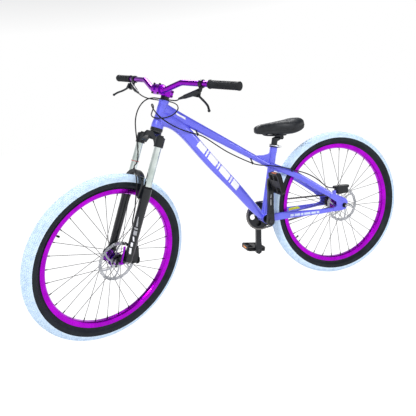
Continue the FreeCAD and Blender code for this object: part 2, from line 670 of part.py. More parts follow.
# ---- seat post and saddle ----------------------------------------------------------------------
def build_seatpost():
    low, high = BB + SEAT_AXIS * 130, SEAT_TOP + SEAT_AXIS * 32
    head = vec(251, 0, 701)
    post = rod(low, high, POST_R).cut(rod(low - SEAT_AXIS, high - SEAT_AXIS * 12, POST_R - 2.5))
    neck = cone(high - SEAT_AXIS * 8, head, 13.4, 9.4)
    saddle_seat = rod(head - Y * 17, head + Y * 17, 9.5)
    keep("seatpost", fuse(post, neck, saddle_seat))
    rail_z = head.z + 13.5
    lower = block(vec(head.x - 20, -25, rail_z - 7), vec(head.x + 20, 25, rail_z - 0.2))
    upper = block(vec(head.x - 18, -25, rail_z + 0.2), vec(head.x + 18, 25, rail_z + 6.5))
    lower = lower.cut(rod(head - Y * 30, head + Y * 30, 9.55)).cut(neck)
    grooves = [rod(vec(head.x - 30, y, rail_z), vec(head.x + 30, y, rail_z), 3.6) for y in (-22, 22)]
    tower = rod(vec(head.x + 9, 0, rail_z - 20), vec(head.x + 9, 0, rail_z + 10), 3.0)
    bolt_hole = rod(vec(head.x + 9, 0, rail_z - 30), vec(head.x + 9, 0, rail_z + 30), 3.05)
    clamp = [lower.cut(group(grooves)).cut(bolt_hole), upper.cut(group(grooves)).cut(bolt_hole)]
    bolt = tower.cut(rod(head - Y * 30, head + Y * 30, 9.55)).cut(neck)
    keep("seat_clamp", group([*clamp, *bolt.Solids[-1:]]))
    return head, rail_z


def build_saddle(head, rail_z):
    rails = []
    for side in (LEFT, RIGHT):
        points = [vec(346, side * 6, 748), vec(328, side * 10, rail_z + 8), vec(292, side * 22, rail_z),
                  vec(215, side * 22, rail_z), vec(194, side * 30, rail_z + 12), vec(180, side * 36, 752)]
        rail, _, _ = swept(points, 3.5)
        rails.append(rail)
    keep("saddle_rails", group(rails))

    def outline(rows):
        """A solid through sections across the saddle: (x, underside z, top z, half width)."""
        wires = []
        for x, under, over, half in rows:
            centre = vec(x, 0, (under + over) / 2)
            wires.append(hoop(centre, Z, (over - under) / 2, half, 2.6))
        return Part.makeLoft(wires, True, False)

    rows = [(149, 741, 764, 42), (157, 729, 771, 59), (178, 716, 777, 71), (210, 710, 778, 68), (250, 713, 776, 48),
            (290, 719, 774, 31), (328, 725, 773, 24), (357, 730, 769, 19), (373, 738, 760, 11)]
    inner_rows = rows[1:-1]
    hollow = outline([(x, low - 60, high - 21, half - 6) for x, low, high, half in inner_rows])
    shell = outline([(x, high - 27, high - 22, half - 8) for x, low, high, half in inner_rows])
    cover = outline(rows).cut(hollow).cut(shell).cut(group(rails))
    keep("saddle_cover", max(cover.Solids, key=lambda s: s.Volume))
    keep("saddle_shell", shell.cut(group(rails)))


# ---- fork ---------------------------------------------------------------------------------
def build_fork():
    sockets = [rod(vec(LEG_X, s * LEG_Y, CROWN_UNDER), vec(LEG_X, s * LEG_Y, 514), 19.0) for s in (LEFT, RIGHT)]
    boss = cone(vec(0, 0, 500), vec(0, 0, HEAD_LOW - 14), 26, 23.5)
    arc = Part.Arc(vec(0, -50, 482), vec(0, 0, 512), vec(0, 50, 482)).toShape()
    low_run = [vec(0, 50, 482), vec(0, 66, 484), vec(0, 66, 506), vec(0, 48, 512), vec(0, 22, 532),
               vec(0, -22, 532), vec(0, -48, 512), vec(0, -66, 506), vec(0, -66, 484), vec(0, -50, 482)]
    bridge = Part.Face(Part.Wire([arc, *Part.makePolygon(low_run).Edges]))
    bridge = moved(bridge, vec(-2, 0, 0)).extrude(vec(32, 0, 0))
    crown = fuse(bridge, boss, *sockets)
    holes = [rod(vec(LEG_X, s * LEG_Y, 440), vec(LEG_X, s * LEG_Y, 509), STANCHION_R) for s in (LEFT, RIGHT)]
    crown = crown.cut(group(holes)).cut(rod(vec(0, 0, 480), vec(0, 0, 560), STEERER_R))
    keep("fork_crown", placed(crown, STEERED))
    steerer = tube(vec(0, 0, 502), vec(0, 0, BAR_HEIGHT + 17), STEERER_R, STEERER_R - 2.2)
    keep("fork_steerer", placed(steerer, STEERED))
    tubes = [tube(vec(LEG_X, s * LEG_Y, 150), vec(LEG_X, s * LEG_Y, 509), STANCHION_R, STANCHION_R - 1.8)
             for s in (LEFT, RIGHT)]
    ring_z = SEAL_TOP + TRAVEL + 2
    ring = tube(vec(LEG_X, -LEG_Y, ring_z), vec(LEG_X, -LEG_Y, ring_z + 3), STANCHION_R + 1.5, STANCHION_R + 0.02)
    keep("fork_stanchions", placed(group([*tubes, ring]), STEERED))
    caps = []
    for s in (LEFT, RIGHT):
        collar = rod(vec(LEG_X, s * LEG_Y, 514.1), vec(LEG_X, s * LEG_Y, 517), 14)
        caps.append(fuse(collar, rod(vec(LEG_X, s * LEG_Y, 517), vec(LEG_X, s * LEG_Y, 522), 11 if s == LEFT else 8)))
    keep("fork_top_caps", placed(group(caps), STEERED))


def build_lowers():
    legs = []
    for s in (LEFT, RIGHT):
        leg = fuse(rod(vec(LEG_X, s * LEG_Y, 262), vec(LEG_X, s * LEG_Y, SEAL_TOP - 6), 20.5),
                   cone(vec(LEG_X, s * LEG_Y, 236), vec(LEG_X, s * LEG_Y, 262), 18.2, 20.5),
                   cone(vec(LEG_X, s * LEG_Y, 14), vec(LEG_X, s * LEG_Y, 236), 16.8, 18.2),
                   cone(vec(LEG_X, s * LEG_Y, 6), vec(LEG_X, s * LEG_Y, 14), 13.5, 16.8))
        legs.append(leg)
    inner = Part.Arc(vec(30, -45, 318), vec(30, 0, 352), vec(30, 45, 318)).toShape()
    outer = Part.Arc(vec(30, 66, 314), vec(30, 0, 367), vec(30, -66, 314)).toShape()
    right_side = Part.makePolygon([vec(30, 45, 318), vec(30, 46, 285), vec(30, 62, 262), vec(30, 66, 314)])
    left_side = Part.makePolygon([vec(30, -66, 314), vec(30, -62, 262), vec(30, -46, 285), vec(30, -45, 318)])
    arch = Part.Face(Part.Wire([inner, *right_side.Edges, outer, *left_side.Edges])).extrude(vec(20, 0, 0))
    dropouts = []
    for s in (LEFT, RIGHT):
        y_in, y_out = s * (FRONT_OLD + 0.1), s * (FRONT_OLD + 8)
        outline = [(LEG_X - 6, 46), (LEG_X + 12, 50), (FORK_OFFSET + 12, 8), (FORK_OFFSET + 12, -11),
                   (FORK_OFFSET - 11, -12), (LEG_X - 8, 8)]
        face = plate(outline, min(y_in, y_out), max(y_in, y_out))
        dropouts.append(face)
    whole = fuse(*legs, arch, *dropouts)
    cuts = []
    for s in (LEFT, RIGHT):
        cuts.append(rod(vec(LEG_X, s * LEG_Y, 40), vec(LEG_X, s * LEG_Y, SEAL_TOP + 5), STANCHION_R + 0.06))
        cuts.append(rod(vec(LEG_X, s * LEG_Y, SEAL_TOP - 5.9), vec(LEG_X, s * LEG_Y, SEAL_TOP + 60), 21))
        cuts.append(Part.makeCylinder(9.2, 40, FRONT_AXLE + Y * (s * 60 - 20) + Y * (s * 18.2), Y))
        cuts.append(Part.makeCylinder(4.6, 40, FRONT_AXLE + Y * (s * 50 - 20), Y))
    slot = [block(vec(FORK_OFFSET - 4.6, s * 54 - 8, -30), vec(FORK_OFFSET + 4.6, s * 54 + 8, 0)) for s in (LEFT, RIGHT)]
    tab = plate([(LEG_X - 8, 88), (LEG_X - 8, 24), (LEG_X - 32, 34), (LEG_X - 32, 46), (LEG_X - 22, 60),
                 (LEG_X - 30, 76), (LEG_X - 28, 86)], 52, 60)
    whole = whole.fuse(tab)
    for cut in [*cuts, *slot]:
        whole = whole.cut(cut)
    keep("fork_lowers", placed(whole, STEERED))
    seals = [spun_z([(STANCHION_R + 0.05, 0), (20, 0), (20, 4), (17, 7.5), (STANCHION_R + 0.05, 7.5)]) for _ in range(2)]
    rings = [moved(ring, vec(LEG_X, s * LEG_Y, SEAL_TOP - 5.9)) for ring, s in zip(seals, (LEFT, RIGHT))]
    keep("fork_seals", placed(group(rings), STEERED))


def build_front_axle():
    """A hollow axle with its quick-release rod and end nut; the lever is a piece of its own."""
    shaft = tube(vec(0, -FRONT_OLD - 5, 0), vec(0, FRONT_OLD + 5, 0), 4.5, 2.9)
    collars = [tube(vec(0, s * (FRONT_OLD - 9.2), 0), vec(0, s * FRONT_OLD, 0), 7.5, 4.5) for s in (LEFT, RIGHT)]
    inner = tube(vec(0, -FRONT_OLD + 9.3, 0), vec(0, FRONT_OLD - 9.3, 0), 7.5, 4.5)
    skewer = rod(vec(0, -66, 0), vec(0, 62, 0), 2.5)
    nut = fuse(cone(vec(0, -58.3, 0), vec(0, -68, 0), 9, 6.5), skewer)
    cap = tube(vec(0, 58.3, 0), vec(0, 64, 0), 8.8, 2.55)
    place = STEERED.multiply(FreeCAD.Placement(FRONT_AXLE, FreeCAD.Rotation()))
    keep("front_axle", placed(group([fuse(shaft, *collars, inner), nut, cap]), place))
    head = rod(vec(-7.5, 69.6, 0), vec(7.5, 69.6, 0), 5.2)
    arm, _, _ = swept([vec(0, 69.6, 0), vec(1, 71, 24), vec(2, 70, 46), vec(2, 67, 64)], 3.6)
    tip = Part.makeSphere(4.8, vec(2, 67, 64))
    keep("front_release_lever", placed(fuse(head, arm, tip), place))


def caliper(centre_angle, inner_low, rotor_y):
    """A caliper across the rotor's rim: its body, two mounting bolts and the pads between."""
    length, low, high = 27, ROTOR_R - 24, ROTOR_R + 12
    body = block(vec(low, inner_low, -length), vec(high, rotor_y + 17, length))
    body = fuse(body, block(vec(high - 12, inner_low + 3, -length - 10), vec(high, rotor_y + 11, length + 10)))
    slot = block(vec(low - 5, rotor_y - 1.2, -length - 15), vec(ROTOR_R + 2, rotor_y + 3.2, length + 15))
    bay = block(vec(low - 5, rotor_y - 5.4, -13), vec(ROTOR_R + 1.5, rotor_y + 7.4, 13))
    pads = [block(vec(low + 2, rotor_y - 5.2, -12.5), vec(ROTOR_R, rotor_y - 0.4, 12.5)),
            block(vec(low + 2, rotor_y + 2.4, -12.5), vec(ROTOR_R, rotor_y + 7.2, 12.5))]
    bolts = [rod(vec(high - 6, rotor_y + 10, z), vec(high - 6, rotor_y + 15, z), 4.2) for z in (-length - 4, length + 4)]
    port = rod(vec(high - 6, rotor_y + HOSE_PORT_Y, -length), vec(high - 6, rotor_y + HOSE_PORT_Y, -PORT_END), 4.0)
    body = fuse(body, port, *bolts).cut(fuse(slot, bay))
    place = FreeCAD.Rotation(Y, -centre_angle)
    turn = FreeCAD.Placement(ORIGIN, place)
    return placed(body, turn), placed(group(pads), turn)


def caliper_port(place, centre_angle, rotor_y, ahead=0.0):
    """A point straight out from a caliper's hose port, ahead of its face."""
    turn = FreeCAD.Rotation(Y, -centre_angle)
    return place.multVec(turn.multVec(vec(ROTOR_R + 6, rotor_y + HOSE_PORT_Y, -PORT_END - ahead)))


def build_calipers():
    front_place = FRONT_WHEEL
    body, pads = caliper(FRONT_CALIPER_ANGLE, 29.5, FRONT_ROTOR_Y)
    leg = rod(vec(LEG_X, LEG_Y, 0) - FRONT_AXLE, vec(LEG_X, LEG_Y, 320) - FRONT_AXLE, 19.2)
    tab_gap = block(vec(-90, 51.7, 0), vec(20, 62, 120))
    body = body.cut(leg).cut(tab_gap)
    body = max(body.Solids, key=lambda s: s.Volume)
    keep("front_caliper", placed(body, front_place))
    keep("front_brake_pads", placed(pads, front_place))
    body, pads = caliper(REAR_CALIPER_ANGLE, 36.5, REAR_ROTOR_Y)
    keep("rear_caliper", moved(body, REAR_AXLE).cut(parts["rear_triangle"]))
    keep("rear_brake_pads", moved(pads, REAR_AXLE))


# ---- handlebar and controls ------------------------------------------------------------------
def bar_points():
    half = [vec(BAR_AHEAD, 44, BAR_HEIGHT), vec(32, 124, BAR_HEIGHT + 36), vec(0, BAR_HALF, BAR_HEIGHT + 46)]
    return [vec(p.x, -p.y, p.z) for p in reversed(half)] + half


def grip_direction():
    points = bar_points()
    return (points[-1] - points[-2]).normalize()


def on_bar(y):
    """A point on the bar's outer straight at a given distance to the left."""
    end, along = bar_points()[-1], grip_direction()
    return end - along * ((BAR_HALF - y) / along.y)


def build_cockpit():
    bar, _, _ = swept(bar_points(), BAR_R, [60, 70, 70, 60])
    bar = bar.fuse(rod(vec(BAR_AHEAD, -34, BAR_HEIGHT), vec(BAR_AHEAD, 34, BAR_HEIGHT), BAR_CLAMP_R))
    for s in (LEFT, RIGHT):
        bar = bar.fuse(cone(vec(BAR_AHEAD, s * 34, BAR_HEIGHT), vec(BAR_AHEAD, s * 44, BAR_HEIGHT), BAR_CLAMP_R, BAR_R))
    hollow, _, _ = swept(bar_points(), BAR_R - 2.6, [60, 70, 70, 60])
    keep("handlebar", placed(bar.cut(hollow), STEERED))
    along = grip_direction()
    grip_low, grip_high = on_bar(264), on_bar(BAR_HALF)
    body = tube(grip_low, grip_high, 15.0, BAR_R + 0.02)
    cuff = tube(grip_low, grip_low + along * 5, 16.5, BAR_R + 0.02)
    cap = rod(grip_high + along * 0.02, grip_high + along * 4, 15.8)
    grip = fuse(body, cuff, cap)
    keep("grips", placed(group([grip, mirrored(grip)]), STEERED))

    low, high = BAR_HEIGHT - 18, BAR_HEIGHT + 18
    barrel = rod(vec(0, 0, low), vec(0, 0, high), 19.5)
    neck = block(vec(4, -21, BAR_HEIGHT - 14), vec(BAR_AHEAD - 1, 21, BAR_HEIGHT + 14))
    cradle = rod(vec(BAR_AHEAD, -25, BAR_HEIGHT), vec(BAR_AHEAD, 25, BAR_HEIGHT), 21)
    pinch = block(vec(-27, -11, low + 3), vec(-10, 11, high - 3))
    stem = fuse(barrel, neck, cradle, pinch)
    stem = stem.cut(block(vec(BAR_AHEAD, -40, low - 20), vec(BAR_AHEAD + 60, 40, high + 20)))
    stem = stem.cut(rod(vec(0, 0, 600), vec(0, 0, 800), STEERER_R + 0.02))
    stem = stem.cut(rod(vec(BAR_AHEAD, -40, BAR_HEIGHT), vec(BAR_AHEAD, 40, BAR_HEIGHT), BAR_CLAMP_R + 0.02))
    stem = stem.cut(block(vec(-40, -0.8, 600), vec(-15, 0.8, 800)))
    keep("stem", placed(stem, STEERED))
    face = rod(vec(BAR_AHEAD, -25, BAR_HEIGHT), vec(BAR_AHEAD, 25, BAR_HEIGHT), 21)
    face = face.cut(block(vec(0, -40, low - 20), vec(BAR_AHEAD + 1, 40, high + 20)))
    face = face.cut(rod(vec(BAR_AHEAD, -40, BAR_HEIGHT), vec(BAR_AHEAD, 40, BAR_HEIGHT), BAR_CLAMP_R + 0.02))
    face = face.cut(block(vec(BAR_AHEAD, -8, BAR_HEIGHT - 9), vec(BAR_AHEAD + 40, 8, BAR_HEIGHT + 9)))
    keep("stem_faceplate", placed(face, STEERED))
    bolts = []
    for y in (-18.5, 18.5):
        for z in (-18.4, 18.4):
            bolts.append(rod(vec(BAR_AHEAD + 11, y, BAR_HEIGHT + z), vec(BAR_AHEAD + 16, y, BAR_HEIGHT + z), 3.8))
    for z in (-9, 9):
        bolts.append(rod(vec(-22, 11.02, BAR_HEIGHT + z), vec(-22, 15, BAR_HEIGHT + z), 3.4))
    bolts = [b.cut(face).cut(stem) for b in bolts]
    keep("stem_bolts", placed(group(bolts), STEERED))
    spacer = tube(vec(0, 0, HEAD_HIGH + 5.4), vec(0, 0, low - 0.1), 17.5, STEERER_R + 0.02)
    cap = spun_z([(0, high + 0.1), (18.5, high + 0.1), (18.5, high + 3), (14, high + 6), (0, high + 6)])
    keep("headset_spacers", placed(group([spacer, cap]), STEERED))


def lever_body():
    """The left brake lever's clamp and master cylinder, which lies inward and down from it."""
    along = grip_direction()
    centre = on_bar(LEVER_Y)
    clamp = tube(centre - along * 7, centre + along * 7, 15.5, BAR_R + 0.02)
    bridge = rod(centre + vec(1, 0, -10), centre + vec(0, -4, -27), 7.5)
    cylinder = cone(vec(26, LEVER_Y - 2, 709), LEVER_NOSE, 11, 8)
    nose = cone(LEVER_NOSE - (LEVER_PORT - LEVER_NOSE).normalize() * 5, LEVER_PORT, 7.6, 4.0)
    tongue = block(vec(20, LEVER_Y - 12, 688), vec(40, LEVER_Y + 4, 710))
    return fuse(clamp, bridge, cylinder, nose, tongue).cut(rod(centre - along * 40, centre + along * 40, BAR_R + 0.02))


def lever_blade():
    points = [LEVER_PIVOT, LEVER_PIVOT + vec(-1, 16, -8), LEVER_PIVOT + vec(-2, 44, -22),
              LEVER_PIVOT + vec(3, 70, -35), LEVER_PIVOT + vec(8, 84, -50)]
    blade, _, _ = swept(points, 4.2)
    hub = rod(LEVER_PIVOT - X * 7, LEVER_PIVOT + X * 7, 5.5)
    whole = fuse(blade, hub, Part.makeSphere(5.6, points[-1]))
    return whole.cut(rod(LEVER_PIVOT - X * 9, LEVER_PIVOT + X * 9, LEVER_PIN_R + 0.06))


def lever_turn(side):
    """Turns a left-hand lever part about the bar, and mirrors it for the right."""
    def place(shape):
        rolled = turned(shape, on_bar(LEVER_Y), grip_direction(), LEVER_ROLL if side == LEFT else -LEVER_ROLL)
        return placed(rolled if side == LEFT else mirrored(rolled), STEERED)
    return place


def build_levers():
    body, blade = lever_body(), lever_blade()
    body = body.cut(rod(LEVER_PIVOT - X * 7.4, LEVER_PIVOT + X * 7.4, 6.2))
    body = body.cut(block(LEVER_PIVOT + vec(-5, -6, -20), LEVER_PIVOT + vec(5, 20, 4)))
    pin = rod(LEVER_PIVOT - X * 11, LEVER_PIVOT + X * 11, LEVER_PIN_R)
    body = body.cut(pin)
    keep("brake_lever_bodies", group([lever_turn(side)(shape) for side in (LEFT, RIGHT) for shape in (body, pin)]))
    keep("left_brake_lever", lever_turn(LEFT)(blade))
    keep("right_brake_lever", lever_turn(RIGHT)(blade))


def lever_port(side, ahead=0.0):
    """A point straight out from a lever's hose port, in the bicycle's frame."""
    centre, along = on_bar(LEVER_Y), grip_direction()
    turn = FreeCAD.Rotation(along, LEVER_ROLL if side == LEFT else -LEVER_ROLL)
    point = LEVER_PORT + (LEVER_PORT - LEVER_NOSE).normalize() * ahead
    point = centre + turn.multVec(point - centre)
    return STEERED.multVec(vec(point.x, side * point.y, point.z))


# ---- cranks and pedals ---------------------------------------------------------------------
def crank_arm(side):
    """One arm pointing up from the crank axis, before it is turned to its place."""
    y_low, y_high = (62, 77) if side == LEFT else (-77, -62)
    outline = [(-17, -8), (-16, 10), (-12.5, 60), (-12.5, 130), (-15, 160), (-13, 184), (0, 192),
               (13, 184), (15, 160), (12.5, 130), (12.5, 60), (16, 10), (17, -8), (10, -18), (-10, -18)]
    arm = plate(outline, y_low, y_high)
    groove = plate([(-5, 34), (-4, 140), (4, 140), (5, 34)], side * 77 - 2, side * 77 + 2)
    arm = arm.cut(groove).cut(rod(vec(0, -90, 0), vec(0, 90, 0), 8.52))
    return arm.cut(rod(vec(0, -90, CRANK), vec(0, 90, CRANK), 7.05))


def build_cranks():
    spindle = rod(vec(0, -76, 0), vec(0, 76, 0), 8.5)
    ends = [rod(vec(0, s * 77.1, 0), vec(0, s * 80, 0), 10) for s in (LEFT, RIGHT)]
    necks = [rod(vec(0, s * 76, 0), vec(0, s * 77.1, 0), 8.4) for s in (LEFT, RIGHT)]
    keep("crank_spindle", moved(fuse(spindle, *ends, *necks), BB))
    left = turned(crank_arm(LEFT), ORIGIN, Y, -CRANK_LEAN)
    right = turned(crank_arm(RIGHT), ORIGIN, Y, 180 - CRANK_LEAN)
    boss = tube(vec(0, -62, 0), vec(0, -CHAINLINE + 1.5, 0), 16.95, 8.52)
    flange = tube(vec(0, -62, 0), vec(0, -CHAINLINE - 1.6, 0), 24, 16)
    keep("left_crank", moved(left, BB))
    keep("right_crank", moved(fuse(right, boss, flange), BB))


def pedal_place(side):
    lean_angle = -CRANK_LEAN if side == LEFT else 180 - CRANK_LEAN
    end = FreeCAD.Rotation(Y, lean_angle).multVec(vec(0, 0, CRANK))
    return BB + end


def pedal(side):
    """A flat plastic pedal with open windows and two reflectors, lying level."""
    y_near, y_far = 87, 181
    outline = [(-46, y_near + 8), (-38, y_near), (38, y_near), (46, y_near + 8), (46, y_far - 10), (36, y_far),
               (-36, y_far), (-46, y_far - 10)]
    face = Part.Face(polygon([vec(x, y, -9) for x, y in outline]))
    whole = face.extrude(vec(0, 0, 18))
    windows = []
    for x_low, x_high in ((-38, -15), (15, 38)):
        windows.append(block(vec(x_low, y_near + 10, -20), vec(x_high, 130, 20)))
        windows.append(block(vec(x_low, 138, -20), vec(x_high, y_far - 10, 20)))
    bays = [block(vec(x, 112, -6), vec(x + 5, 156, 6)) for x in (-46.5, 41.5)]
    waist = [block(vec(-14, y_near + 10, s * 13 - 5), vec(14, y_far - 10, s * 13 + 5)) for s in (LEFT, RIGHT)]
    studs = [rod(vec(x, y, -11.5), vec(x, y, 11.5), 2.0) for x in (-42, 42) for y in (104, 164)]
    whole = whole.cut(group([*windows, *bays, *waist])).fuse(group(studs))
    whole = whole.cut(rod(vec(0, 80, 0), vec(0, y_far - 8, 0), 5.56))
    lenses = [block(vec(x, 113, -5), vec(x + 3.5, 155, 5)) for x in (-45.4, 41.9)]
    solids = [whole, *lenses]
    if side == RIGHT:
        solids = [mirrored(s) for s in solids]
    return group(solids)


def build_pedals():
    axle = fuse(rod(vec(0, 63, 0), vec(0, 77.5, 0), 7.0), rod(vec(0, 77.2, 0), vec(0, 85.5, 0), 8.0),
                rod(vec(0, 85, 0), vec(0, 172, 0), 5.5))
    axles = [moved(axle, pedal_place(LEFT)), moved(mirrored(axle), pedal_place(RIGHT))]
    keep("pedal_axles", group(axles))
    left = turned(pedal(LEFT), ORIGIN, Y, -81.6)
    keep("left_pedal", moved(left, pedal_place(LEFT)))
    keep("right_pedal", moved(turned(pedal(RIGHT), ORIGIN, Y, -13), pedal_place(RIGHT)))


# ---- brake hoses --------------------------------------------------------------------------
def steered_points(rows):
    return [STEERED.multVec(vec(*row)) for row in rows]


REAR_HOSE = [
    (808, -60, 950), (778, -48, 940), (744, -38, 930), (712, -17, 919), (699, 15, 904),
    (705, 43, 884), (729, 54, 867), (757, 51, 859), (784, 39, 860), (804, 14, 866), (809, -14, 877),
    (799, -36, 891), (788, -39, 909), (794, -22, 923), (803, 2, 919), (803, 27, 902), (793, 44, 877),
    (770, 48, 850), (736, 43, 822), (698, 35, 799), (657, 24, 782), (612, 12, 762), (566, 9, 722), (520, 10, 682),
    (470, 8, 648), (425, 9, 620), (386, 14, 598), (346, 27, 590), (304, 39, 580), (262, 51, 566), (218, 58, 546),
    (172, 62, 528), (130, 62, 504), (98, 60, 478)]
CLIP_AT = (20, 25, 29)    # the rear hose's runs that its clips hold


def hose(name, points):
    solid, length, radii = swept(points, HOSE_R)
    expected = math.pi * HOSE_R ** 2 * length
    print(f"{name}: {length:.0f} mm, volume {solid.Volume / expected:.3f} of its section times length,"
          f" smallest radius {min(radii):.0f}, radii {[round(r) for r in radii]}")
    keep(name, solid)


def build_hoses():
    """The left lever works the front brake and the right lever works the rear brake."""
    front = [lever_port(LEFT), lever_port(LEFT, 26)] + steered_points([
        (30, 72, 663), (42, 38, 661), (58, 2, 660), (71, -32, 642), (75, -54, 604), (66, -68, 560),
        (52, -68, 516), (43, -58, 478), (36, -44, 446), (30, -34, 414), (36, -26, 389), (52, -14, 378),
        (64, 10, 374), (68, 34, 358), (66, 53, 330), (61, 61, 298), (57, 64, 262), (48, 64, 224), (40, 56, 190),
        (28, 42, 160), (12, 37, 136), (-2, 41, 112)])
    front += [caliper_port(FRONT_WHEEL, FRONT_CALIPER_ANGLE, FRONT_ROTOR_Y, gap) for gap in (20, 0.4)]
    hose("front_brake_hose", front)
    rear = [lever_port(RIGHT, 0.4), lever_port(RIGHT, 26)] + [vec(*row) for row in REAR_HOSE]
    rear += [caliper_port(REAR_WHEEL, REAR_CALIPER_ANGLE, REAR_ROTOR_Y, gap) for gap in (28, 0)]
    hose("rear_brake_hose", rear)


def build_hose_guides():
    """Open clips under the top tube and on the left seat stay that hold the rear hose."""
    clips = []
    for first, anchor in ((CLIP_AT[0], vec(639, 6, 796)), (CLIP_AT[1], vec(411, 8, 632)), (CLIP_AT[2], vec(236, 46, 540))):
        a, b = vec(*REAR_HOSE[first]), vec(*REAR_HOSE[first + 1])
        middle = (a + b) * 0.5
        ring = Part.makeTorus(HOSE_R + 2.2, 1.6, middle, b - a)
        foot = rod(anchor, middle + (anchor - middle).normalize() * (HOSE_R + 2.4), 3.0)
        clips.append(fuse(ring, foot))
    clips = [clip.cut(parts["main_frame"]).cut(parts["rear_triangle"]) for clip in clips]
    keep("hose_guides", group([max(clip.Solids, key=lambda s: s.Volume) for clip in clips]))


def report_and_save():
    os.makedirs("parts", exist_ok=True)
    for name in sorted(parts):
        shape = parts[name]
        if not shape.isValid():
            print("not valid:", name)
        solids = shape.Solids
        tiny = [round(s.Volume, 2) for s in solids if s.Volume < 5]
        if tiny or not solids:
            print("look at", name, len(solids), tiny)
        shape = group(solids) if len(solids) > 1 else solids[0]
        shape.exportStep(f"parts/{name}.step")
    print(len(parts), "nodes")


pins = build_chain()
build_sprockets(pins)
build_front_wheel()
build_rear_wheel()
build_main_frame()
build_rear_triangle()
build_headset()
build_bottom_bracket()
build_seat_collar()
post_head, rail_height = build_seatpost()
build_saddle(post_head, rail_height)
build_fork()
build_lowers()
build_front_axle()
build_calipers()
build_cockpit()
build_levers()
build_cranks()
build_pedals()
build_hoses()
build_hose_guides()
report_and_save()
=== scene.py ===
"""The looks of a dirt-jump style bicycle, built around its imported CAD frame.

Metres, in the frame's own axes: +X is forward, +Y is the rider's left and +Z is up.
The origin is where the rear tyre meets the ground.
"""
import json
import math
import bmesh
import bpy
from mathutils import Matrix, Vector
from mathutils.bvhtree import BVHTree


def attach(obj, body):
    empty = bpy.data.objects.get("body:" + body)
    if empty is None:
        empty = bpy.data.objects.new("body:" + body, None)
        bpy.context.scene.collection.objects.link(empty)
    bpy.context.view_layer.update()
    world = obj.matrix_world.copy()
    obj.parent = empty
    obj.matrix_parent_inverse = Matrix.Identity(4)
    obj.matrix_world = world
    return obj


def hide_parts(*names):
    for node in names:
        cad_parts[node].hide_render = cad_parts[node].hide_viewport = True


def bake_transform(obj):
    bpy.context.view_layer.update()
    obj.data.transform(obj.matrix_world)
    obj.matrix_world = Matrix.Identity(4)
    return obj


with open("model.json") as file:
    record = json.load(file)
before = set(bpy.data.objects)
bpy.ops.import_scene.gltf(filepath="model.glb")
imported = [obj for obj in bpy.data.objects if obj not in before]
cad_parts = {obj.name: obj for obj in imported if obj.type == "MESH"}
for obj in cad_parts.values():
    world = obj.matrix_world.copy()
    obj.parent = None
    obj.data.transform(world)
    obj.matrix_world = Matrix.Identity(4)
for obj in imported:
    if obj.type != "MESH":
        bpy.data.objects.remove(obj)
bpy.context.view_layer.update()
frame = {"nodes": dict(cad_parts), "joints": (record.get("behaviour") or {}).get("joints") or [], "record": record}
NODES = frame["nodes"]
JOINTS = {joint["name"]: joint for joint in frame["joints"]}

# ---- places that the frame gives ------------------------------------------------------------
MM = 0.001
FOOT = Vector(JOINTS["steering"]["pos_m"])    # where the steering axis nears the ground
AXIS = Vector(JOINTS["steering"]["axis"]).normalized()
REAR_AXLE = Vector(JOINTS["rear_wheel_spin"]["pos_m"])
FRONT_AXLE = Vector(JOINTS["front_wheel_spin"]["pos_m"])
CRANK_AXLE = Vector(JOINTS["crank_spin"]["pos_m"])
LEFT_AXIS = Vector(JOINTS["front_wheel_spin"]["axis"]).normalized()
AHEAD_AXIS = LEFT_AXIS.cross(AXIS).normalized()
TYRE_R = REAR_AXLE.z
BAR_HEIGHT, BAR_HALF = 699.0, 396.0           # the bar in the fork's axes, in millimetres
GRIP_START = 264.0                            # how far out along it the grips begin
STANCHION_AHEAD, STANCHION_OUT = 17.0, 65.0   # the two stanchions, in millimetres


def axes(origin, x, y, z):
    """A matrix whose columns are three directions and an origin."""
    rows = [[x[i], y[i], z[i], origin[i]] for i in range(3)]
    return Matrix(rows + [[0, 0, 0, 1]])


STEERED = axes(FOOT, AHEAD_AXIS, LEFT_AXIS, AXIS)
FRONT_WHEEL = axes(FRONT_AXLE, AHEAD_AXIS, LEFT_AXIS, AXIS)
REAR_WHEEL = Matrix.Translation(REAR_AXLE)


def steered(ahead, left, along):
    """A point given in millimetres in the turned fork's own axes."""
    return STEERED @ Vector((ahead * MM, left * MM, along * MM))


# ---- materials --------------------------------------------------------------------------------
def shader(name, colour, roughness, metallic=0.0, **sockets):
    """A Principled material. A socket's name is written with _ for each space."""
    material = bpy.data.materials.new(name)
    material.use_nodes = True
    surface = material.node_tree.nodes["Principled BSDF"]
    surface.inputs["Base Color"].default_value = (*colour, 1)
    surface.inputs["Roughness"].default_value = roughness
    surface.inputs["Metallic"].default_value = metallic
    for socket, value in sockets.items():
        surface.inputs[socket.replace("_", " ")].default_value = value
    return material


def add(material, kind, **settings):
    node = material.node_tree.nodes.new(kind)
    for name, value in settings.items():
        if name in node.inputs:
            node.inputs[name].default_value = value
        else:
            setattr(node, name, value)
    return node


def join(material, out, into):
    material.node_tree.links.new(out, into)


def surface_of(material):
    return material.node_tree.nodes["Principled BSDF"]


def position(material):
    return add(material, "ShaderNodeTexCoord").outputs["Object"]


def noise(material, scale, detail=4.0, stretch=(1, 1, 1)):
    place = add(material, "ShaderNodeMapping")
    place.inputs["Scale"].default_value = stretch
    join(material, position(material), place.inputs["Vector"])
    grain = add(material, "ShaderNodeTexNoise", Scale=scale, Detail=detail)
    join(material, place.outputs["Vector"], grain.inputs["Vector"])
    return grain.outputs["Fac"]


def mottled(material, pattern, dark, light, low=0.35, high=0.65):
    """Colour that wanders between two shades."""
    ramp = add(material, "ShaderNodeValToRGB")
    ramp.color_ramp.elements[0].position = low
    ramp.color_ramp.elements[1].position = high
    ramp.color_ramp.elements[0].color = (*dark, 1)
    ramp.color_ramp.elements[1].color = (*light, 1)
    join(material, pattern, ramp.inputs["Fac"])
    join(material, ramp.outputs["Color"], surface_of(material).inputs["Base Color"])


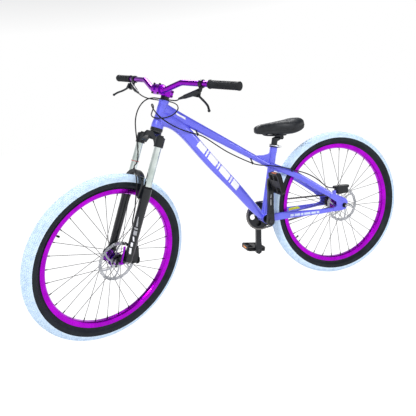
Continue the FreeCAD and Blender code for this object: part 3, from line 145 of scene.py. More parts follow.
def uneven(material, pattern, smooth, rough):
    """Roughness that wanders between two values."""
    spread = add(material, "ShaderNodeMapRange")
    spread.inputs["From Min"].default_value = 0.3
    spread.inputs["From Max"].default_value = 0.7
    spread.inputs["To Min"].default_value = smooth
    spread.inputs["To Max"].default_value = rough
    join(material, pattern, spread.inputs["Value"])
    join(material, spread.outputs["Result"], surface_of(material).inputs["Roughness"])


def bumpy(material, pattern, strength, depth):
    bump = add(material, "ShaderNodeBump", Strength=strength, Distance=depth)
    join(material, pattern, bump.inputs["Height"])
    join(material, bump.outputs["Normal"], surface_of(material).inputs["Normal"])


def metal(name, dark, light, smooth, rough, coat=0.0, grain=180.0, stretch=(1, 1, 1), depth=0.00004):
    material = shader(name, light, smooth, 1.0, Coat_Weight=coat, Coat_Roughness=0.06)
    mottled(material, noise(material, 22.0), dark, light)
    uneven(material, noise(material, grain, 6.0, stretch), smooth, rough)
    bumpy(material, noise(material, grain * 3, 3.0, stretch), 0.25, depth)
    return material


def plain(name, dark, light, smooth, rough, grain=240.0, depth=0.0001, **sockets):
    material = shader(name, light, smooth, 0.0, **sockets)
    mottled(material, noise(material, 30.0), dark, light)
    uneven(material, noise(material, grain, 5.0), smooth, rough)
    bumpy(material, noise(material, grain * 2, 4.0), 0.3, depth)
    return material


def rubber(name, dark, light, smooth, rough, grain=240.0):
    """A dull black that throws back little of a bright room."""
    return plain(name, dark, light, smooth, rough, grain, 0.0002, Specular_IOR_Level=0.22)


def make_paint():
    """Lavender-blue paint under clear lacquer, faintly mottled, with a fine ripple in its surface."""
    paint = shader("frame_paint", (0.12, 0.125, 0.80), 0.30, 0.25, Coat_Weight=1.0, Coat_Roughness=0.06)
    mottled(paint, noise(paint, 9.0), (0.105, 0.110, 0.76), (0.130, 0.140, 0.83), 0.3, 0.7)
    uneven(paint, noise(paint, 900.0, 2.0), 0.26, 0.42)
    bumpy(paint, noise(paint, 260.0, 2.0), 0.05, 0.00006)
    return paint


def make_leather():
    """Black saddle cover with a fine cell grain."""
    leather = shader("saddle_leather", (0.008, 0.009, 0.011), 0.42, 0.0, Specular_IOR_Level=0.35,
                     Coat_Weight=0.1, Coat_Roughness=0.3)
    cells = add(leather, "ShaderNodeTexVoronoi", Scale=620.0)
    cells.feature = "DISTANCE_TO_EDGE"
    join(leather, position(leather), cells.inputs["Vector"])
    mottled(leather, noise(leather, 45.0), (0.005, 0.006, 0.008), (0.012, 0.014, 0.018))
    uneven(leather, noise(leather, 90.0), 0.36, 0.5)
    bumpy(leather, cells.outputs["Distance"], 0.35, 0.0003)
    return leather


def make_tread():
    """Pale blue tread rubber, mottled and grained."""
    tread = shader("tread_rubber", (0.60, 0.76, 0.92), 0.62, Specular_IOR_Level=0.3)
    mottled(tread, noise(tread, 70.0, 8.0), (0.47, 0.62, 0.80), (0.64, 0.78, 0.93), 0.25, 0.6)
    bumpy(tread, noise(tread, 500.0, 5.0), 0.35, 0.0003)
    return tread


MATERIALS = {
    "frame_paint": make_paint(),
    "anodised_rim": metal("anodised_rim", (0.36, 0.0, 0.52), (0.47, 0.001, 0.66), 0.20, 0.32, 0.12),
    "anodised_purple": metal("anodised_purple", (0.24, 0.002, 0.44), (0.34, 0.006, 0.60), 0.16, 0.28, 0.15),
    "anodised_hub": metal("anodised_hub", (0.16, 0.005, 0.36), (0.26, 0.012, 0.52), 0.20, 0.32, 0.5),
    "tyre_rubber": rubber("tyre_rubber", (0.004, 0.007, 0.011), (0.010, 0.015, 0.022), 0.42, 0.6, 300.0),
    "tread_rubber": make_tread(),
    "tube_rubber": rubber("tube_rubber", (0.008, 0.008, 0.009), (0.016, 0.016, 0.017), 0.45, 0.6),
    "spoke_steel": metal("spoke_steel", (0.008, 0.007, 0.006), (0.022, 0.019, 0.017), 0.35, 0.5),
    "rotor_steel": metal("rotor_steel", (0.26, 0.27, 0.29), (0.46, 0.47, 0.50), 0.20, 0.38, 0, 260.0),
    "fork_black": plain("fork_black", (0.003, 0.004, 0.006), (0.007, 0.009, 0.012), 0.14, 0.26, 300.0,
                        0.00004, Specular_IOR_Level=0.35, Coat_Weight=0.25, Coat_Roughness=0.08),
    "stanchion": metal("stanchion", (0.52, 0.60, 0.57), (0.74, 0.80, 0.78), 0.05, 0.11, 0.3),
    "bearing_steel": metal("bearing_steel", (0.34, 0.34, 0.35), (0.52, 0.52, 0.54), 0.2, 0.35),
    "black_alloy": plain("black_alloy", (0.003, 0.004, 0.006), (0.007, 0.009, 0.013), 0.24, 0.38, 300.0,
                         0.00004, Specular_IOR_Level=0.4),
    "axle_steel": metal("axle_steel", (0.38, 0.38, 0.40), (0.60, 0.60, 0.62), 0.2, 0.34),
    "bolt_steel": metal("bolt_steel", (0.03, 0.03, 0.034), (0.08, 0.08, 0.09), 0.25, 0.4),
    "grip_rubber": rubber("grip_rubber", (0.006, 0.007, 0.009), (0.012, 0.014, 0.017), 0.5, 0.7, 320.0),
    "hose_rubber": rubber("hose_rubber", (0.006, 0.006, 0.007), (0.011, 0.011, 0.012), 0.34, 0.5),
    "pedal_plastic": rubber("pedal_plastic", (0.005, 0.005, 0.006), (0.011, 0.011, 0.013), 0.34, 0.5),
    "saddle_leather": make_leather(),
    "saddle_plastic": rubber("saddle_plastic", (0.003, 0.004, 0.006), (0.007, 0.009, 0.012), 0.3, 0.45),
    "rail_steel": metal("rail_steel", (0.02, 0.02, 0.024), (0.05, 0.05, 0.06), 0.25, 0.4),
    "chain_steel": metal("chain_steel", (0.10, 0.095, 0.09), (0.26, 0.25, 0.24), 0.28, 0.46, 0, 140.0),
    "pad_compound": plain("pad_compound", (0.05, 0.045, 0.04), (0.10, 0.09, 0.085), 0.7, 0.9),
    "seal_rubber": rubber("seal_rubber", (0.005, 0.005, 0.006), (0.010, 0.010, 0.011), 0.5, 0.65),
    "guide_plastic": rubber("guide_plastic", (0.006, 0.006, 0.007), (0.012, 0.012, 0.013), 0.35, 0.5),
    "white_print": plain("white_print", (0.78, 0.79, 0.84), (0.90, 0.91, 0.95), 0.25, 0.35, 200.0,
                         0.00003, Coat_Weight=0.8, Coat_Roughness=0.06),
    "grey_print": plain("grey_print", (0.30, 0.31, 0.33), (0.42, 0.43, 0.46), 0.3, 0.42, 200.0, 0.00003),
    "yellow_print": plain("yellow_print", (0.60, 0.66, 0.02), (0.78, 0.82, 0.05), 0.3, 0.42, 200.0, 0.00003),
    "pale_blue_print": plain("pale_blue_print", (0.52, 0.60, 0.90), (0.62, 0.70, 0.96), 0.25, 0.35, 200.0,
                             0.00003, Coat_Weight=0.8, Coat_Roughness=0.06),
    "amber_lens": shader("amber_lens", (0.95, 0.30, 0.02), 0.12, 0.0, Coat_Weight=0.6,
                         Transmission_Weight=0.25),
    "red_ring": plain("red_ring", (0.45, 0.02, 0.02), (0.62, 0.03, 0.03), 0.4, 0.55),
    "chrome": metal("chrome", (0.62, 0.63, 0.65), (0.80, 0.81, 0.83), 0.08, 0.16),
}
# nodes whose colour is not their record slot's
RECOLOURED = {"seat_collar": "black_alloy", "seat_release_lever": "chrome",
              "front_release_lever": "anodised_purple", "chainring": "black_alloy",
              "stem_bolts": "bolt_steel", "crank_spindle": "bolt_steel", "pedal_axles": "bolt_steel"}


def dress_nodes():
    """Every CAD node gets the material that its slot names, or the one it is recoloured with."""
    slots = {part["node"]: part["material_slot"] for part in frame["record"]["subparts"]}
    for name, node in NODES.items():
        material = MATERIALS[RECOLOURED.get(name, slots[name])]
        node.data.materials.clear()
        node.data.materials.append(material)


# ---- making pieces ----------------------------------------------------------------------------
def piece(name, mesh, body, materials, smooth=True):
    thing = bpy.data.objects.new(name, mesh)
    bpy.context.scene.collection.objects.link(thing)
    for material in materials:
        mesh.materials.append(MATERIALS[material])
    if smooth:
        mesh.polygons.foreach_set("use_smooth", [True] * len(mesh.polygons))
    if body:
        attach(thing, body)
    return thing


def mesh_from(bm, name):
    bmesh.ops.recalc_face_normals(bm, faces=bm.faces)
    mesh = bpy.data.meshes.new(name)
    bm.to_mesh(mesh)
    bm.free()
    return mesh


def loft(rings, closed_ends=True, closed_loop=False):
    """A skin over rings of points that all have the same count."""
    bm = bmesh.new()
    rows = [[bm.verts.new(p) for p in ring] for ring in rings]
    pairs = list(zip(rows, rows[1:]))
    if closed_loop:
        pairs.append((rows[-1], rows[0]))
    for low, high in pairs:
        n = len(low)
        for i in range(n):
            bm.faces.new((low[i], low[(i + 1) % n], high[(i + 1) % n], high[i]))
    if closed_ends and not closed_loop:
        bm.faces.new(rows[0])
        bm.faces.new(rows[-1])
    return bm


def box_on(bm, centre, along, across, up, size, taper=0.82):
    """A small block with a smaller top face, standing on a surface."""
    half_long, half_wide, high = size[0] / 2, size[1] / 2, size[2]
    low, top = [], []
    for a, b in ((-1, -1), (1, -1), (1, 1), (-1, 1)):
        low.append(bm.verts.new(centre + along * a * half_long + across * b * half_wide))
        top.append(bm.verts.new(centre + along * a * half_long * taper + across * b * half_wide * taper
                                + up * high))
    faces = [bm.faces.new(top), bm.faces.new(low[::-1])]
    for i in range(4):
        j = (i + 1) % 4
        faces.append(bm.faces.new((low[i], low[j], top[j], top[i])))
    return faces


# ---- tyres ------------------------------------------------------------------------------------
SECTION_R = 28.5 * MM            # the tyre's round section, over its tread blocks
CASING_R = 27.0 * MM             # and between them
TREAD_EDGE = math.radians(88)    # where the pale rubber ends, around the section
BEAD_POINTS = [(285.2, 12.9), (279.0, 12.2), (279.0, 8.8), (289.5, 9.5)]
RING_STEPS = 216
BLOCK_ROWS = [math.radians(a) for a in (-70, -57, -44, -30, -15, 0, 15, 30, 44, 57, 70)]
BLOCK_STEPS = 168


def side_radius(across):
    """The casing's radius around its section: low under the blocks, full at the shoulder, two fine ribs."""
    a = abs(math.degrees(across))
    radius = 27.0 + 1.1 * min(1.0, max(0.0, (a - 70) / 10))
    if 86 < a < 90 or 116 < a < 119:
        radius += 0.4
    return radius * MM


def ring_point(around, out, y):
    return Vector((out * math.cos(around), y, out * math.sin(around)))


def section_point(across, radius):
    """How far out from the axle and how far sideways a point of the section is."""
    return TYRE_R - SECTION_R + radius * math.cos(across), radius * math.sin(across)


def tyre_section():
    degrees = [-150, -135, -119.5, -118, -116.5, -115, -104, -94, -90.5, -89, -87, -85.5, -80, -70, -60,
               -48, -36, -24, -12]
    degrees += [0] + [-a for a in reversed(degrees)]
    outside = [section_point(math.radians(a), side_radius(math.radians(a))) for a in degrees]
    bead = [(out * MM, y * MM) for out, y in BEAD_POINTS]
    inside = [section_point(math.radians(a), 24.5 * MM) for a in range(135, -136, -27)]
    return outside + bead + inside + [(out, -y) for out, y in reversed(bead)]


def build_tyre(name, node, body, place):
    """Casing and tread blocks, made round the origin and then placed on the axle."""
    section = tyre_section()
    rings = []
    for k in range(RING_STEPS):
        around = 2 * math.pi * k / RING_STEPS
        rings.append([ring_point(around, out, y) for out, y in section])
    bm = loft(rings, closed_loop=True)
    for face in bm.faces:
        middle = face.calc_center_median()
        out = math.hypot(middle.x, middle.z) - (TYRE_R - SECTION_R)
        outer = math.hypot(out, middle.y) > CASING_R - 1.0 * MM
        pale = outer and abs(math.atan2(middle.y, out)) < TREAD_EDGE
        face.material_index = 1 if pale else 0
        face.smooth = True
    pitch = 2 * math.pi / BLOCK_STEPS
    for row, across in enumerate(BLOCK_ROWS):
        for k in range(BLOCK_STEPS):
            around = pitch * (k + 0.5 * (row % 2))
            foot = ring_point(around, *section_point(across, CASING_R - 0.2 * MM))
            top = ring_point(around, *section_point(across, SECTION_R))
            up = (top - foot).normalized()
            along = Vector((-math.sin(around), 0, math.cos(around)))
            width = 5.6 * MM if abs(across) < BLOCK_ROWS[-2] else 4.6 * MM
            length = pitch * TYRE_R * (0.66 if row % 2 else 0.74)
            for face in box_on(bm, foot, along, along.cross(up), up, (length, width, 1.7 * MM)):
                face.material_index = 1
    mesh = mesh_from(bm, name)
    mesh.transform(place)
    tyre = piece(name, mesh, body, ["tyre_rubber", "tread_rubber"], smooth=False)
    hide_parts(node)
    return tyre


# ---- brake discs --------------------------------------------------------------------------------
DISC_R, TRACK_INNER_R, CARRIER_R, DISC_BORE_R = 80.0, 66.0, 27.5, 17.5
DISC_THICK = 2.0
ARMS, ARM_SWEEP, ARM_HALF = 6, 24.0, 3.6
BOLT_CIRCLE_R, BOLT_SIDES = 22.0, 18


def loop_at(bm, points):
    ring = [bm.verts.new((x * MM, 0, z * MM)) for x, z in points]
    return [bm.edges.new((ring[i], ring[(i + 1) % len(ring)])) for i in range(len(ring))]


def polar(radius, degrees):
    return radius * math.cos(math.radians(degrees)), radius * math.sin(math.radians(degrees))


def circle(centre, radius, count):
    return [(centre[0] + radius * math.cos(2 * math.pi * k / count),
             centre[1] + radius * math.sin(2 * math.pi * k / count)) for k in range(count)]


def arm_angle(arm, radius, side):
    """Where one side of a swept arm is, at a radius."""
    middle = arm * 360 / ARMS + ARM_SWEEP * (radius - CARRIER_R) / (TRACK_INNER_R - CARRIER_R)
    return middle + side * math.degrees(math.asin(ARM_HALF / radius))


def window(arm):
    """The opening between one arm and the next."""
    steps = 10
    radii = [CARRIER_R + (TRACK_INNER_R - CARRIER_R) * k / steps for k in range(steps + 1)]
    rising = [polar(r, arm_angle(arm, r, 1)) for r in radii]
    falling = [polar(r, arm_angle(arm + 1, r, -1)) for r in reversed(radii)]
    first, last = arm_angle(arm, TRACK_INNER_R, 1), arm_angle(arm + 1, TRACK_INNER_R, -1)
    rim = []
    for k in range(1, 24):
        angle = first + (last - first) * k / 24
        rim.append(polar(TRACK_INNER_R + 1.6 * abs(math.sin(math.radians(angle * 7.5))), angle))
    low, high = arm_angle(arm + 1, CARRIER_R, -1), arm_angle(arm, CARRIER_R, 1)
    foot = [polar(CARRIER_R, low + (high - low) * k / 8) for k in range(1, 8)]
    return rising + rim + falling + foot


def build_disc(name, node, body, place):
    """A wavy, drilled brake disc on six swept arms, with its six bolts."""
    inside = place.inverted()
    start = min((inside @ v.co).y for v in NODES[node].data.vertices)
    bm = bmesh.new()
    edge = [polar(DISC_R - 0.9 + 0.9 * math.cos(math.radians(18 * k * 1.5)), k * 1.5) for k in range(240)]
    edges = loop_at(bm, edge) + loop_at(bm, circle((0, 0), DISC_BORE_R, 48))
    for arm in range(ARMS):
        edges += loop_at(bm, window(arm))
    for k in range(24):
        for radius, hole, turn in ((70.8, 1.9, 0), (75.6, 2.1, 7.5)):
            edges += loop_at(bm, circle(polar(radius, 15 * k + turn), hole, 12))
    bmesh.ops.triangle_fill(bm, use_beauty=True, edges=edges)
    grown = bmesh.ops.extrude_face_region(bm, geom=list(bm.faces))
    lifted = [v for v in grown["geom"] if isinstance(v, bmesh.types.BMVert)]
    bmesh.ops.translate(bm, verts=lifted, vec=(0, DISC_THICK * MM, 0))
    n = BOLT_SIDES
    for k in range(ARMS):
        centre = polar(BOLT_CIRCLE_R, 60 * k + 30)
        rings = []
        for radius, y in ((3.9, DISC_THICK), (3.9, 3.8), (3.2, 4.5), (1.9, 4.5), (1.7, 3.2)):
            rings.append([bm.verts.new((x * MM, y * MM, z * MM)) for x, z in circle(centre, radius, n)])
        for low, high in zip(rings, rings[1:]):
            for i in range(n):
                bm.faces.new((low[i], low[(i + 1) % n], high[(i + 1) % n], high[i])).material_index = 1
        bm.faces.new(rings[0]).material_index = 1
        bm.faces.new(rings[-1]).material_index = 1
    mesh = mesh_from(bm, name)
    mesh.transform(place @ Matrix.Translation((0, start, 0)))
    disc = piece(name, mesh, body, ["rotor_steel", "bolt_steel"], smooth=False)
    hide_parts(node)


# ---- saddle -----------------------------------------------------------------------------------
SADDLE_ROWS = [   # (x, underside, top, half width, droop of the sides) in millimetres
    (150.5, 741, 768, 44, 0), (153, 732, 774, 57, 1), (161, 724, 779, 66, 3), (178, 717, 781, 71, 5),
    (196, 713, 780, 71, 6), (212, 711, 778, 67, 6), (232, 712, 777, 58, 5), (254, 714, 776, 46, 4),
    (276, 718, 775, 36, 3), (300, 721, 774, 29, 2), (322, 725, 773.5, 25, 2), (344, 728, 772, 21.5, 2),
    (358, 731, 769, 18.5, 2), (367, 735, 765, 15, 1), (372.4, 741, 759, 9.5, 0)]


def saddle_ring(x, low, high, half, droop):
    """One section across the saddle, fuller above than below, with a shallow dip along its middle."""
    ring, count = [], 44
    middle, half_high = (low + high) / 2, (high - low) / 2
    for k in range(count):
        angle = 2 * math.pi * k / count
        c, s = math.cos(angle), math.sin(angle)
        power = 2 / (2.7 if s > 0 else 5.0)
        y = math.copysign(abs(c) ** power, c) * half
        z = middle + math.copysign(abs(s) ** power, s) * half_high
        if s > 0:
            z -= 1.6 * math.exp(-(y / 9.0) ** 2) * min(1.0, half / 40) + droop * (abs(y) / half) ** 3
        ring.append(Vector((x, y, z)) * MM)
    return ring


def build_saddle():
    """The padded cover, and a seam cord along each side of it."""
    rows = []
    for first, second in zip(SADDLE_ROWS, SADDLE_ROWS[1:]):
        rows.append(first)
        rows.append(tuple((a + b) / 2 for a, b in zip(first, second)))
    rows.append(SADDLE_ROWS[-1])
    bm = loft([saddle_ring(*row) for row in rows])
    mesh = mesh_from(bm, "saddle_skin")
    saddle = piece("saddle_skin", mesh, None, ["saddle_leather"])
    smooth = saddle.modifiers.new("round", "SUBSURF")
    smooth.levels = 1
    smooth.render_levels = 1
    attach(saddle, "seat_post")
    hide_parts("saddle_cover")
    seam = []
    for x, low, high, half, _ in rows[1:-1]:
        seam.append(Vector((x, half * 0.985 + 0.5, low + (high - low) * 0.33)) * MM)
    for side, label in ((1, "left"), (-1, "right")):
        points = [Vector((p.x, p.y * side, p.z)) for p in seam]
        cord = tube_along(f"saddle_seam_{label}", points, 0.0011, "seat_post", "saddle_leather")


def tube_along(name, points, radius, body, material):
    """A smooth round cord through control points, as a mesh."""
    line = spline(name, points, radius)
    mesh = bpy.data.meshes.new_from_object(line)
    bpy.data.objects.remove(line)
    mesh.materials.clear()
    return piece(name, mesh, body, [material])


def spline(name, points, radius):
    """A NURBS curve of order 3 that starts and ends on its first and last points."""
    curve = bpy.data.curves.new(name, "CURVE")
    curve.dimensions = "3D"
    curve.bevel_depth = radius
    curve.bevel_resolution = 5
    curve.resolution_u = 10
    curve.use_fill_caps = True
    line = curve.splines.new("NURBS")
    line.points.add(len(points) - 1)
    for control, point in zip(line.points, points):
        control.co = (*point, 1)
    line.order_u = 3
    line.use_endpoint_u = True
    thing = bpy.data.objects.new(name, curve)
    bpy.context.scene.collection.objects.link(thing)
    return thing


# ---- brake hoses --------------------------------------------------------------------------------
HOSE_R = 2.5 * MM


def centreline(line):
    """Points along a curve's own line, read from the curve with no bevel."""
    depth = line.data.bevel_depth
    line.data.bevel_depth = 0
    bare = bpy.data.meshes.new_from_object(line)
    line.data.bevel_depth = depth
    return [v.co.copy() for v in bare.vertices]


def build_hose(name, node, points):
    """A hydraulic hose from a lever to a caliper, made as one fixed mesh that does not bend."""
    line = spline(name + "_route", points, HOSE_R)
    route = centreline(line)
    mesh = bpy.data.meshes.new_from_object(line)
    bpy.data.objects.remove(line)
    mesh.materials.clear()
    hose = piece(name, mesh, None, ["hose_rubber"])
    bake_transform(hose)
    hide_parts(node)
    return hose


# front in the fork's own axes, the rest in the bicycle's, all in millimetres
FRONT_HOSE = [(30, 72, 663), (42, 38, 661), (58, 2, 660), (71, -32, 642), (75, -54, 604), (66, -68, 560),
              (52, -64, 516), (43, -50, 478), (38, -36, 446), (34, -25, 414), (38, -18, 389), (52, -10, 379),
              (64, 10, 374), (68, 34, 358), (66, 53, 330), (61, 61, 298), (57, 64, 262), (48, 64, 224),
              (40, 56, 190), (28, 42, 160), (12, 37, 136), (-2, 41, 112)]
REAR_HOSE = [(808, -60, 950), (778, -48, 940), (744, -38, 930), (712, -17, 919), (699, 15, 904),
             (705, 43, 884), (729, 54, 867), (757, 51, 859), (784, 39, 860), (804, 14, 866), (809, -14, 877),
             (799, -36, 891), (788, -39, 909), (794, -22, 923), (803, 2, 919), (803, 27, 902), (793, 44, 877),
             (770, 48, 850), (736, 43, 822), (698, 35, 799), (657, 24, 782), (612, 12, 762), (566, 9, 722),
             (520, 10, 682), (470, 8, 648), (425, 9, 620), (386, 14, 598), (346, 27, 590), (304, 39, 580),
             (262, 51, 566), (218, 58, 546), (172, 62, 526), (132, 62, 499), (100, 60, 469)]
LEFT_PORT = [(714.2, 124.2, 922.2), (713.2, 99.5, 915.8)]
RIGHT_PORT = [(833.5, -93.5, 977.6), (829.5, -70.7, 966.6)]
FRONT_PORT = [(957.9, 36.1, 394.1), (960.2, 33.1, 374.9)]
REAR_PORT = [(69, 58.4, 437), (39.9, 58.2, 432.0)]


def build_hoses():
    def metres(rows):
        return [Vector(row) * MM for row in rows]

    front = metres(LEFT_PORT) + [steered(*row) for row in FRONT_HOSE] + metres(FRONT_PORT)
    build_hose("front_hose", "front_brake_hose", front)
    rear = metres(RIGHT_PORT + REAR_HOSE + REAR_PORT)
    build_hose("rear_hose", "rear_brake_hose", rear)


# ---- grips --------------------------------------------------------------------------------------
def bar_line():
    """The grip end of the bar, and the way the bar runs to it, in the fork's axes in millimetres."""
    bend = Vector((32, 124, BAR_HEIGHT + 36))
    end = Vector((0, BAR_HALF, BAR_HEIGHT + 46))
    return end, (end - bend).normalized()


def build_grip(name, side):
    """A rubber grip with rows of raised diamonds, a smooth inner ring and a capped end."""
    end, along = bar_line()
    start = end - along * ((BAR_HALF - GRIP_START) / along.y)
    length = (end - start).length + 4.0
    up = Vector((1, 0, 0)).cross(along).normalized()
    ahead = along.cross(up)
    count, rings = 60, []
    stations = [(0, 11.3), (0, 16.1), (0.8, 16.5), (4.6, 16.5), (5.4, 15.9), (6.4, 14.2)]
    step = 1.15
    while stations[-1][0] + step < length - 9:
        stations.append((stations[-1][0] + step, 0))
    stations += [(length - 8.4, 14.2), (length - 7.6, 15.0), (length - 7.0, 15.6), (length - 1.2, 15.8),
                 (length - 0.3, 15.0), (length, 12.0), (length, 4.0)]
    for along_mm, fixed in stations:
        ring = []
        for k in range(count):
            angle = 2 * math.pi * k / count
            radius = fixed
            if not fixed:
                wave = math.sin(6 * angle + along_mm * 0.62) * math.sin(6 * angle - along_mm * 0.62)
                radius = 14.35 + 0.65 * max(-1.0, min(1.0, wave * 3.0))
            offset = up * math.sin(angle) * radius + ahead * math.cos(angle) * radius
            point = start + along * along_mm + offset
            ring.append(steered(point.x, point.y * side, point.z))
        rings.append(ring)
    mesh = mesh_from(loft(rings), name)
    grip = piece(name, mesh, "steering", ["grip_rubber"])
    return grip


def build_grips():
    left = build_grip("left_grip", 1)
    build_grip("right_grip", -1)
    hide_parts("grips")


# ---- marks printed on surfaces ------------------------------------------------------------------
def printed(name, node, body, material, origin, along, across, outward, outlines,
            cell=5.0, lift=0.35, inner=False):
    """Flat outlines in millimetres, laid on a CAD node's surface as a thin skin.

    along and across span the outlines' plane, and outward points away from the surface. With inner, the
    skin is laid on the far stay's face that looks towards the middle of the frame.
    """
    target = NODES[node]
    tree = BVHTree.FromPolygons([v.co for v in target.data.vertices],
                                [p.vertices for p in target.data.polygons])
    bm = bmesh.new()
    for outline in outlines:
        bm.faces.new([bm.verts.new((a, b, 0)) for a, b in outline])
    low = [min(v.co[i] for v in bm.verts) for i in (0, 1)]
    high = [max(v.co[i] for v in bm.verts) for i in (0, 1)]
    for i in (0, 1):
        normal = Vector((1, 0, 0)) if i == 0 else Vector((0, 1, 0))
        cut = low[i] + cell
        while cut < high[i]:
            geometry = list(bm.verts) + list(bm.edges) + list(bm.faces)
            bmesh.ops.bisect_plane(bm, geom=geometry, plane_co=normal * cut, plane_no=normal)
            cut += cell
    missed = []
    for v in bm.verts:
        start = origin + (along * v.co.x + across * v.co.y) * MM + outward * (0.0 if inner else 0.15)
        place, normal, _, _ = tree.ray_cast(start, -outward, 0.25)
        if place is None:
            missed.append(v)
            continue
        if normal.dot(outward) < 0:
            normal = -normal
        v.co = place + normal * lift * MM
    bmesh.ops.delete(bm, geom=missed, context="VERTS")
    if not bm.faces:
        raise ValueError(f"{name} missed its surface")
    mesh = mesh_from(bm, name)
    thing = piece(name, mesh, body, [material])
    thing.modifiers.new("thick", "SOLIDIFY").thickness = 0.25 * MM
    return thing


def slanted(start, end, low, high, slant=6.0):
    """A leaning bar: a generic mark with no letter's shape."""
    return [(start, low), (end, low), (end + slant, high), (start + slant, high)]


DOWN_ALONG = Vector((0.5563, 0, 0.8310))
DOWN_UP = Vector((-0.8310, 0, 0.5563))
TOP_ALONG = Vector((0.8108, 0, 0.5853))
TOP_UP = Vector((-0.5853, 0, 0.8108))
DOWN_TUBE_BARS = [(196, 236), (243, 251), (258, 318), (325, 333), (340, 392), (399, 407), (414, 462)]
STAY_ALONG = Vector((0.9973, 0, 0.0733))
STAY_UP = Vector((-0.0733, 0, 0.9973))
CHAIN_STAY_DASHES = [(-18, 14), (0, 22), (26, 30), (60, 12), (76, 26), (106, 16)]


def build_marks():
    """Generic blocks, bars and labels where the bicycle carries printed marks."""
    left = Vector((0, 1, 0))
    bars = [slanted(start, end, -16, 12) for start, end in DOWN_TUBE_BARS]
    for side, label in ((1, "left"), (-1, "right")):
        outward = left * side
        printed(f"down_tube_marks_{label}", "main_frame", "frame", "white_print",
                CRANK_AXLE, DOWN_ALONG, DOWN_UP, outward, bars)
        printed(f"down_tube_line_{label}", "main_frame", "frame", "pale_blue_print",
                CRANK_AXLE, DOWN_ALONG, DOWN_UP, outward, [[(40, 8), (200, 14), (200, 15.5), (40, 11)]])
        printed(f"top_tube_label_{label}", "main_frame", "frame", "white_print",
                Vector((0.500, 0, 0.711)), TOP_ALONG, TOP_UP, outward,
                [[(218, 1), (262, 1), (266, 9), (222, 9)]])
        printed(f"chain_stay_label_{label}", "rear_triangle", "frame", "pale_blue_print",
                Vector((0.150, 0, 0.339)), STAY_ALONG, STAY_UP, outward,
                [[(a, -5.5), (a + w, -5.5), (a + w, 5), (a, 5)] for a, w in CHAIN_STAY_DASHES])
    printed("stay_sticker", "rear_triangle", "frame", "yellow_print",
            Vector((0.166, 0, 0.345)), STAY_ALONG, STAY_UP, left,
            [[(0, -6), (66, -6), (66, 6), (14, 6), (0, 0)]], inner=True)
    white_marks = [[(-5, 42), (4, 42), (7, 66), (-2, 66)], [(-4, 72), (5, 72), (7, 88), (-2, 88)],
                   [(-5, 94), (1, 94), (6, 112), (0, 112)]]
    grey_marks = [[(-8, 118), (6, 118), (8, 136), (-6, 136)], [(-7, 141), (7, 141), (9, 148), (-5, 148)],
                  [(-3, 153), (4, 153), (6, 192), (3, 192)]]
    for side, label in ((1, "left"), (-1, "right")):
        outward = (LEFT_AXIS * side * 0.80 + AHEAD_AXIS * 0.60).normalized()
        across = (AHEAD_AXIS * 0.80 - LEFT_AXIS * side * 0.60).normalized()
        for tone, marks in (("white", white_marks), ("grey", grey_marks)):
            printed(f"fork_{tone}_marks_{label}", "fork_lowers", "lowers", f"{tone}_print",
                    steered(STANCHION_AHEAD, STANCHION_OUT * side, 0), across, AXIS, outward, marks, 4.0)
    crank_side = (Vector(JOINTS["left_pedal_spin"]["pos_m"]) - CRANK_AXLE).normalized().cross(left)
    for side, label, joint in ((1, "left", "left_pedal_spin"), (-1, "right", "right_pedal_spin")):
        up = (Vector(JOINTS[joint]["pos_m"]) - CRANK_AXLE).normalized()
        printed(f"crank_marks_{label}", f"{label}_crank", "cranks", "grey_print", CRANK_AXLE, up, crank_side,
                left * side, [[(70, -3), (96, -3), (96, 2), (70, 2)],
                              [(102, -3), (118, -1), (118, 3), (102, 2)]], 6.0)


# ---- small pieces -------------------------------------------------------------------------------
def build_reflectors():
    """Amber prisms in the ends of both pedals, ridged like moulded lenses."""
    for label, side, tilt in (("left", 1, -81.6), ("right", -1, -13.0)):
        centre = Vector(JOINTS[f"{label}_pedal_spin"]["pos_m"])
        turn = Matrix.Rotation(math.radians(tilt), 4, "Y")
        bm = bmesh.new()
        for end in (-1, 1):
            for k in range(10):
                y = side * (0.115 + 0.0042 * k)
                base = Vector((end * 0.0452, y, 0))
                out, across, up = Vector((end, 0, 0)), Vector((0, 1, 0)), Vector((0, 0, 1))
                box_on(bm, base, across, up, out, (0.0040, 0.0098, 0.0009), 0.5)
        mesh = mesh_from(bm, f"{label}_reflectors")
        mesh.transform(Matrix.Translation(centre) @ turn)
        lens = piece(f"{label}_reflectors", mesh, f"{label}_pedal_body", ["amber_lens"], smooth=False)


def build_travel_ring():
    """The red rubber ring on the right stanchion that shows how far the fork has moved."""
    around_steps, section_steps = 48, 12
    stanchion_r, ring_along = 16.0, 395.5
    ring = []
    for k in range(around_steps):
        angle = 2 * math.pi * k / around_steps
        section = []
        for j in range(section_steps):
            turn = 2 * math.pi * j / section_steps
            radius = stanchion_r + 1.3 * math.cos(turn)
            section.append(steered(STANCHION_AHEAD + radius * math.cos(angle),
                                   -STANCHION_OUT + radius * math.sin(angle),
                                   ring_along + 1.5 * math.sin(turn)))
        ring.append(section)
    mesh = mesh_from(loft(ring, closed_loop=True), "travel_ring")
    thing = piece("travel_ring", mesh, "steering", ["red_ring"])


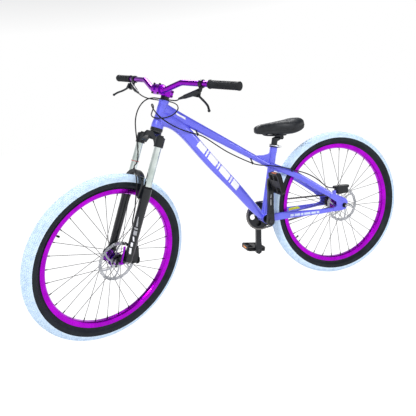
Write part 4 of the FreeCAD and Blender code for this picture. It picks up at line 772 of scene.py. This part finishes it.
# ---- room, light and camera --------------------------------------------------------------------
def build_room():
    """A pale floor, a sky that is white low down and grey overhead, and three soft lamps."""
    floor = shader("floor", (0.12, 0.12, 0.125), 0.95, Specular_IOR_Level=0.05, Emission_Strength=0.97)
    surface_of(floor).inputs["Emission Color"].default_value = (1, 1, 1, 1)
    mesh = bpy.data.meshes.new("floor")
    reach = 30.0
    corners = [(-reach, -reach, 0), (reach, -reach, 0), (reach, reach, 0), (-reach, reach, 0)]
    mesh.from_pydata(corners, [], [(0, 1, 2, 3)])
    mesh.materials.append(floor)
    plane = bpy.data.objects.new("floor", mesh)
    plane.location.z = -0.0005
    bpy.context.scene.collection.objects.link(plane)
    world = bpy.data.worlds.new("studio")
    world.use_nodes = True
    sky = world.node_tree.nodes
    place, split = sky.new("ShaderNodeTexCoord"), sky.new("ShaderNodeSeparateXYZ")
    fade, tone = sky.new("ShaderNodeMapRange"), sky.new("ShaderNodeValToRGB")
    fade.inputs["From Min"].default_value = 0.22
    fade.inputs["From Max"].default_value = 0.60
    tone.color_ramp.elements[0].color = (1, 1, 1, 1)
    tone.color_ramp.elements[1].color = (0.16, 0.17, 0.20, 1)
    for out, into in ((place.outputs["Generated"], split.inputs["Vector"]),
                      (split.outputs["Z"], fade.inputs["Value"]),
                      (fade.outputs["Result"], tone.inputs["Fac"]),
                      (tone.outputs["Color"], sky["Background"].inputs["Color"])):
        world.node_tree.links.new(out, into)
    sky["Background"].inputs["Strength"].default_value = 1.0
    bpy.context.scene.world = world
    bpy.context.scene.view_settings.view_transform = "Standard"
    lamp("key", (2.2, 2.2, 3.6), 1.2, 110)
    lamp("fill", (-2.4, 2.6, 1.6), 1.2, 24)
    lamp("top", (0.2, -1.4, 3.4), 1.4, 100)


def lamp(name, place, size, power):
    light = bpy.data.lights.new(name, "AREA")
    light.size = size
    light.energy = power
    thing = bpy.data.objects.new(name, light)
    thing.location = place
    aim = Vector((0.5, 0, 0.5)) - Vector(place)
    thing.rotation_euler = aim.to_track_quat("-Z", "Y").to_euler()
    bpy.context.scene.collection.objects.link(thing)


def build_camera():
    """The camera, low beside the front wheel on the rider's left."""
    lens = bpy.data.cameras.new("camera")
    lens.lens = 34.56
    lens.sensor_width = 36.0
    lens.shift_x = -0.0464
    lens.shift_y = -0.0800
    lens.clip_end = 100.0
    camera = bpy.data.objects.new("camera", lens)
    azimuth, elevation, roll = math.radians(17.739), math.radians(8.9377), math.radians(-8.1307)
    back = Vector((math.sin(azimuth) * math.cos(elevation), math.cos(azimuth) * math.cos(elevation),
                   math.sin(elevation)))
    level = (-back).cross(Vector((0, 0, 1))).normalized()
    rise = level.cross(-back)
    right = level * math.cos(roll) + rise * math.sin(roll)
    up = rise * math.cos(roll) - level * math.sin(roll)
    camera.matrix_world = axes(Vector((1.0517, 1.6442, 0.8499)), right, up, back)
    bpy.context.scene.collection.objects.link(camera)
    bpy.context.scene.camera = camera


build_camera()
build_hoses()
dress_nodes()
build_room()
build_tyre("rear_tread", "rear_tyre", "rear_wheel", REAR_WHEEL)
build_tyre("front_tread", "front_tyre", "front_wheel", FRONT_WHEEL)
build_disc("front_disc", "front_rotor", "front_wheel", FRONT_WHEEL)
build_disc("rear_disc", "rear_rotor", "rear_wheel", REAR_WHEEL)
build_saddle()
build_grips()
build_marks()
build_reflectors()
build_travel_ring()
